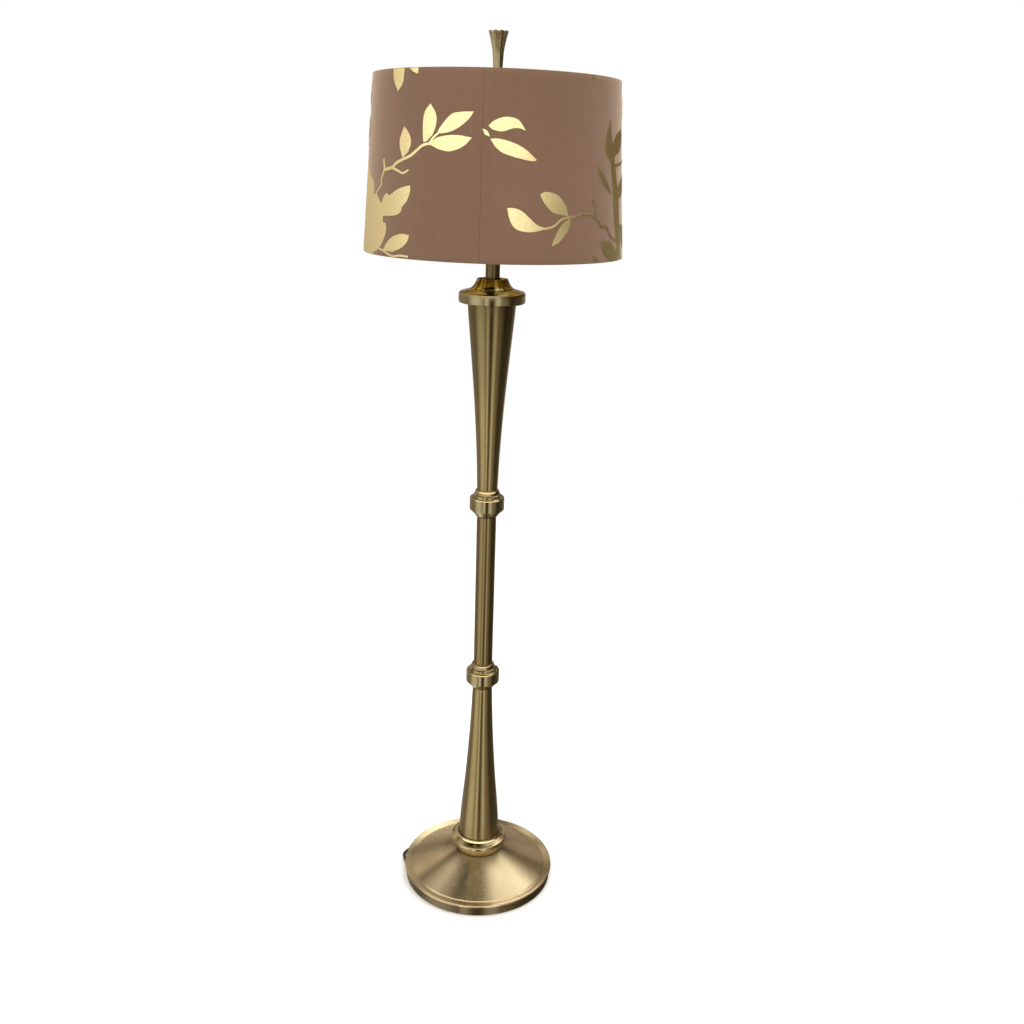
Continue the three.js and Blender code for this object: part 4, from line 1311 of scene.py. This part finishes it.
def bisect(work, origin, normal, **settings):
    geometry = [*work.verts, *work.edges, *work.faces]
    bmesh.ops.bisect_plane(work, geom=geometry, plane_co=origin, plane_no=normal, **settings)


def foil_piece(name, outlines, turn):
    """Outlines laid on the rolled-out shade, cut into narrow strips, and wrapped round it."""
    work = bmesh.new()
    for i, outline in enumerate(outlines):
        corners = [work.verts.new((p.x, p.y, i * LAYER)) for p in outline]
        work.faces.new(corners)
    bmesh.ops.triangulate(work, faces=work.faces)
    bisect(work, (0, RIM_MARGIN, 0), (0, -1, 0), clear_outer=True)
    bisect(work, (0, SHADE_HEIGHT - RIM_MARGIN, 0), (0, 1, 0), clear_outer=True)
    reach = [v.co.x for v in work.verts]
    for i in range(math.ceil(min(reach) / STRIP), math.ceil(max(reach) / STRIP)):
        bisect(work, (i * STRIP, 0, 0), (1, 0, 0))
    for vertex in work.verts:
        across, height, layer = vertex.co
        angle = across / SHADE_MEAN + radians(turn)
        relief = max(seam_relief(math.degrees(angle)), 0)
        radius = shade_radius(height) - sag(height) + relief + PROUD + layer
        z = SHADE_FOOT + height
        vertex.co = (radius * sin(angle) * MM, -radius * cos(angle) * MM, z * MM)
    outward_now = sum(f.normal.dot(f.calc_center_median() * Vector((1, 1, 0))) for f in work.faces)
    if outward_now < 0:
        bmesh.ops.reverse_faces(work, faces=work.faces)
    mesh = bpy.data.meshes.new(name)
    work.to_mesh(mesh)
    work.free()
    mesh.materials.append(FOIL)
    piece = link(name, mesh)
    thick = piece.modifiers.new("foil", "SOLIDIFY")
    thick.thickness = 0.5 * MM
    thick.offset = -1
    edges = piece.modifiers.new("pressed edge", "BEVEL")
    edges.width = 0.12 * MM
    edges.segments = 1
    edges.limit_method = "ANGLE"
    edges.angle_limit = radians(60)
    place(piece, "shade", "polished_brass")


def make_leaves():
    groups = {
        "upper_spray": UPPER_SPRAY,
        "left_cluster": LEFT_CLUSTER,
        "right_pair": RIGHT_PAIR,
        "lower_spray": LOWER_SPRAY,
        "right_stem": RIGHT_STEM,
        "top_leaves": TOP_LEAVES,
        "loose_leaves": LOOSE_LEAVES,
    }
    for turn in REPEATS:
        for name, outlines in groups.items():
            foil_piece(f"foil_{name}_{turn}", outlines, turn)


make_leaves()


# ---- finial


def make_finial():
    """A slim waisted finial whose top opens into ten scalloped flutes."""
    bottom, top = extent("finial")[1:]
    foot = [(5.5, 0), (9.2, 0), (10, 1.8), (9.2, 4.2)]
    waist = [(7.4, 8.2), (7, 17.2), (7.7, 32.2), (8.4, 46.2), (9.2, 57.2), (11.2, 68.2)]
    body = smooth([*waist, (13.6, 78.2), (16.2, 86.8)], 6)
    crown = [(16.2, 87.4), (15.6, 87.5), (13.6, 86.9), (11, 86.4), (5, 85.8), (0, 85.6)]
    hollow = [(0, 17.2), (5.5, 17.2)]
    outline = [(r, bottom + z) for r, z in [*foot, *body, *crown, *hollow]]
    flutes = 10
    start = 13

    def warp(angle, radius, height):
        grown = min(max((height - bottom - start) / (top - bottom - start), 0), 1)
        wave = 1 - abs(sin(flutes * angle / 2)) ** 1.3 * 2
        if radius > 5.6:
            radius *= 1 + 0.05 * grown * (wave - 1)
        if radius > 12:
            height += 0.55 * wave * grown
        return radius, height

    piece = turned("finial_flower", outline, FINIAL, 200, warp)
    place(piece, "finial", "antique_brass", "finial")


make_finial()


# ---- CAD pieces that stay


def finish_kept_nodes():
    """The CAD pieces whose shape is right as it is get their real materials and soft edges."""
    looks = {
        IRON: ["base_weight"],
        STEEL: ["base_washer", "base_locknut", "lower_rod", "middle_rod", "upper_rod"]
        + ["lower_rod_coupler", "upper_rod_coupler", "bulb_contact"],
        RUBBER: ["inner_cord"],
        PLAIN: ["harp_saddle", "saddle_nut", "socket_screw_shell", "centre_contact"]
        + ["switch_spindle", "finial_insert"],
        PAPERBOARD: ["socket_insulator"],
        PHENOLIC: ["socket_body"],
    }
    for material, names in looks.items():
        for name in names:
            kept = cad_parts[name]
            kept.data.materials.clear()
            kept.data.materials.append(material)
    for name in ("harp_saddle", "saddle_nut", "base_locknut", "base_weight"):
        soften(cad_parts[name], 0.3)


finish_kept_nodes()
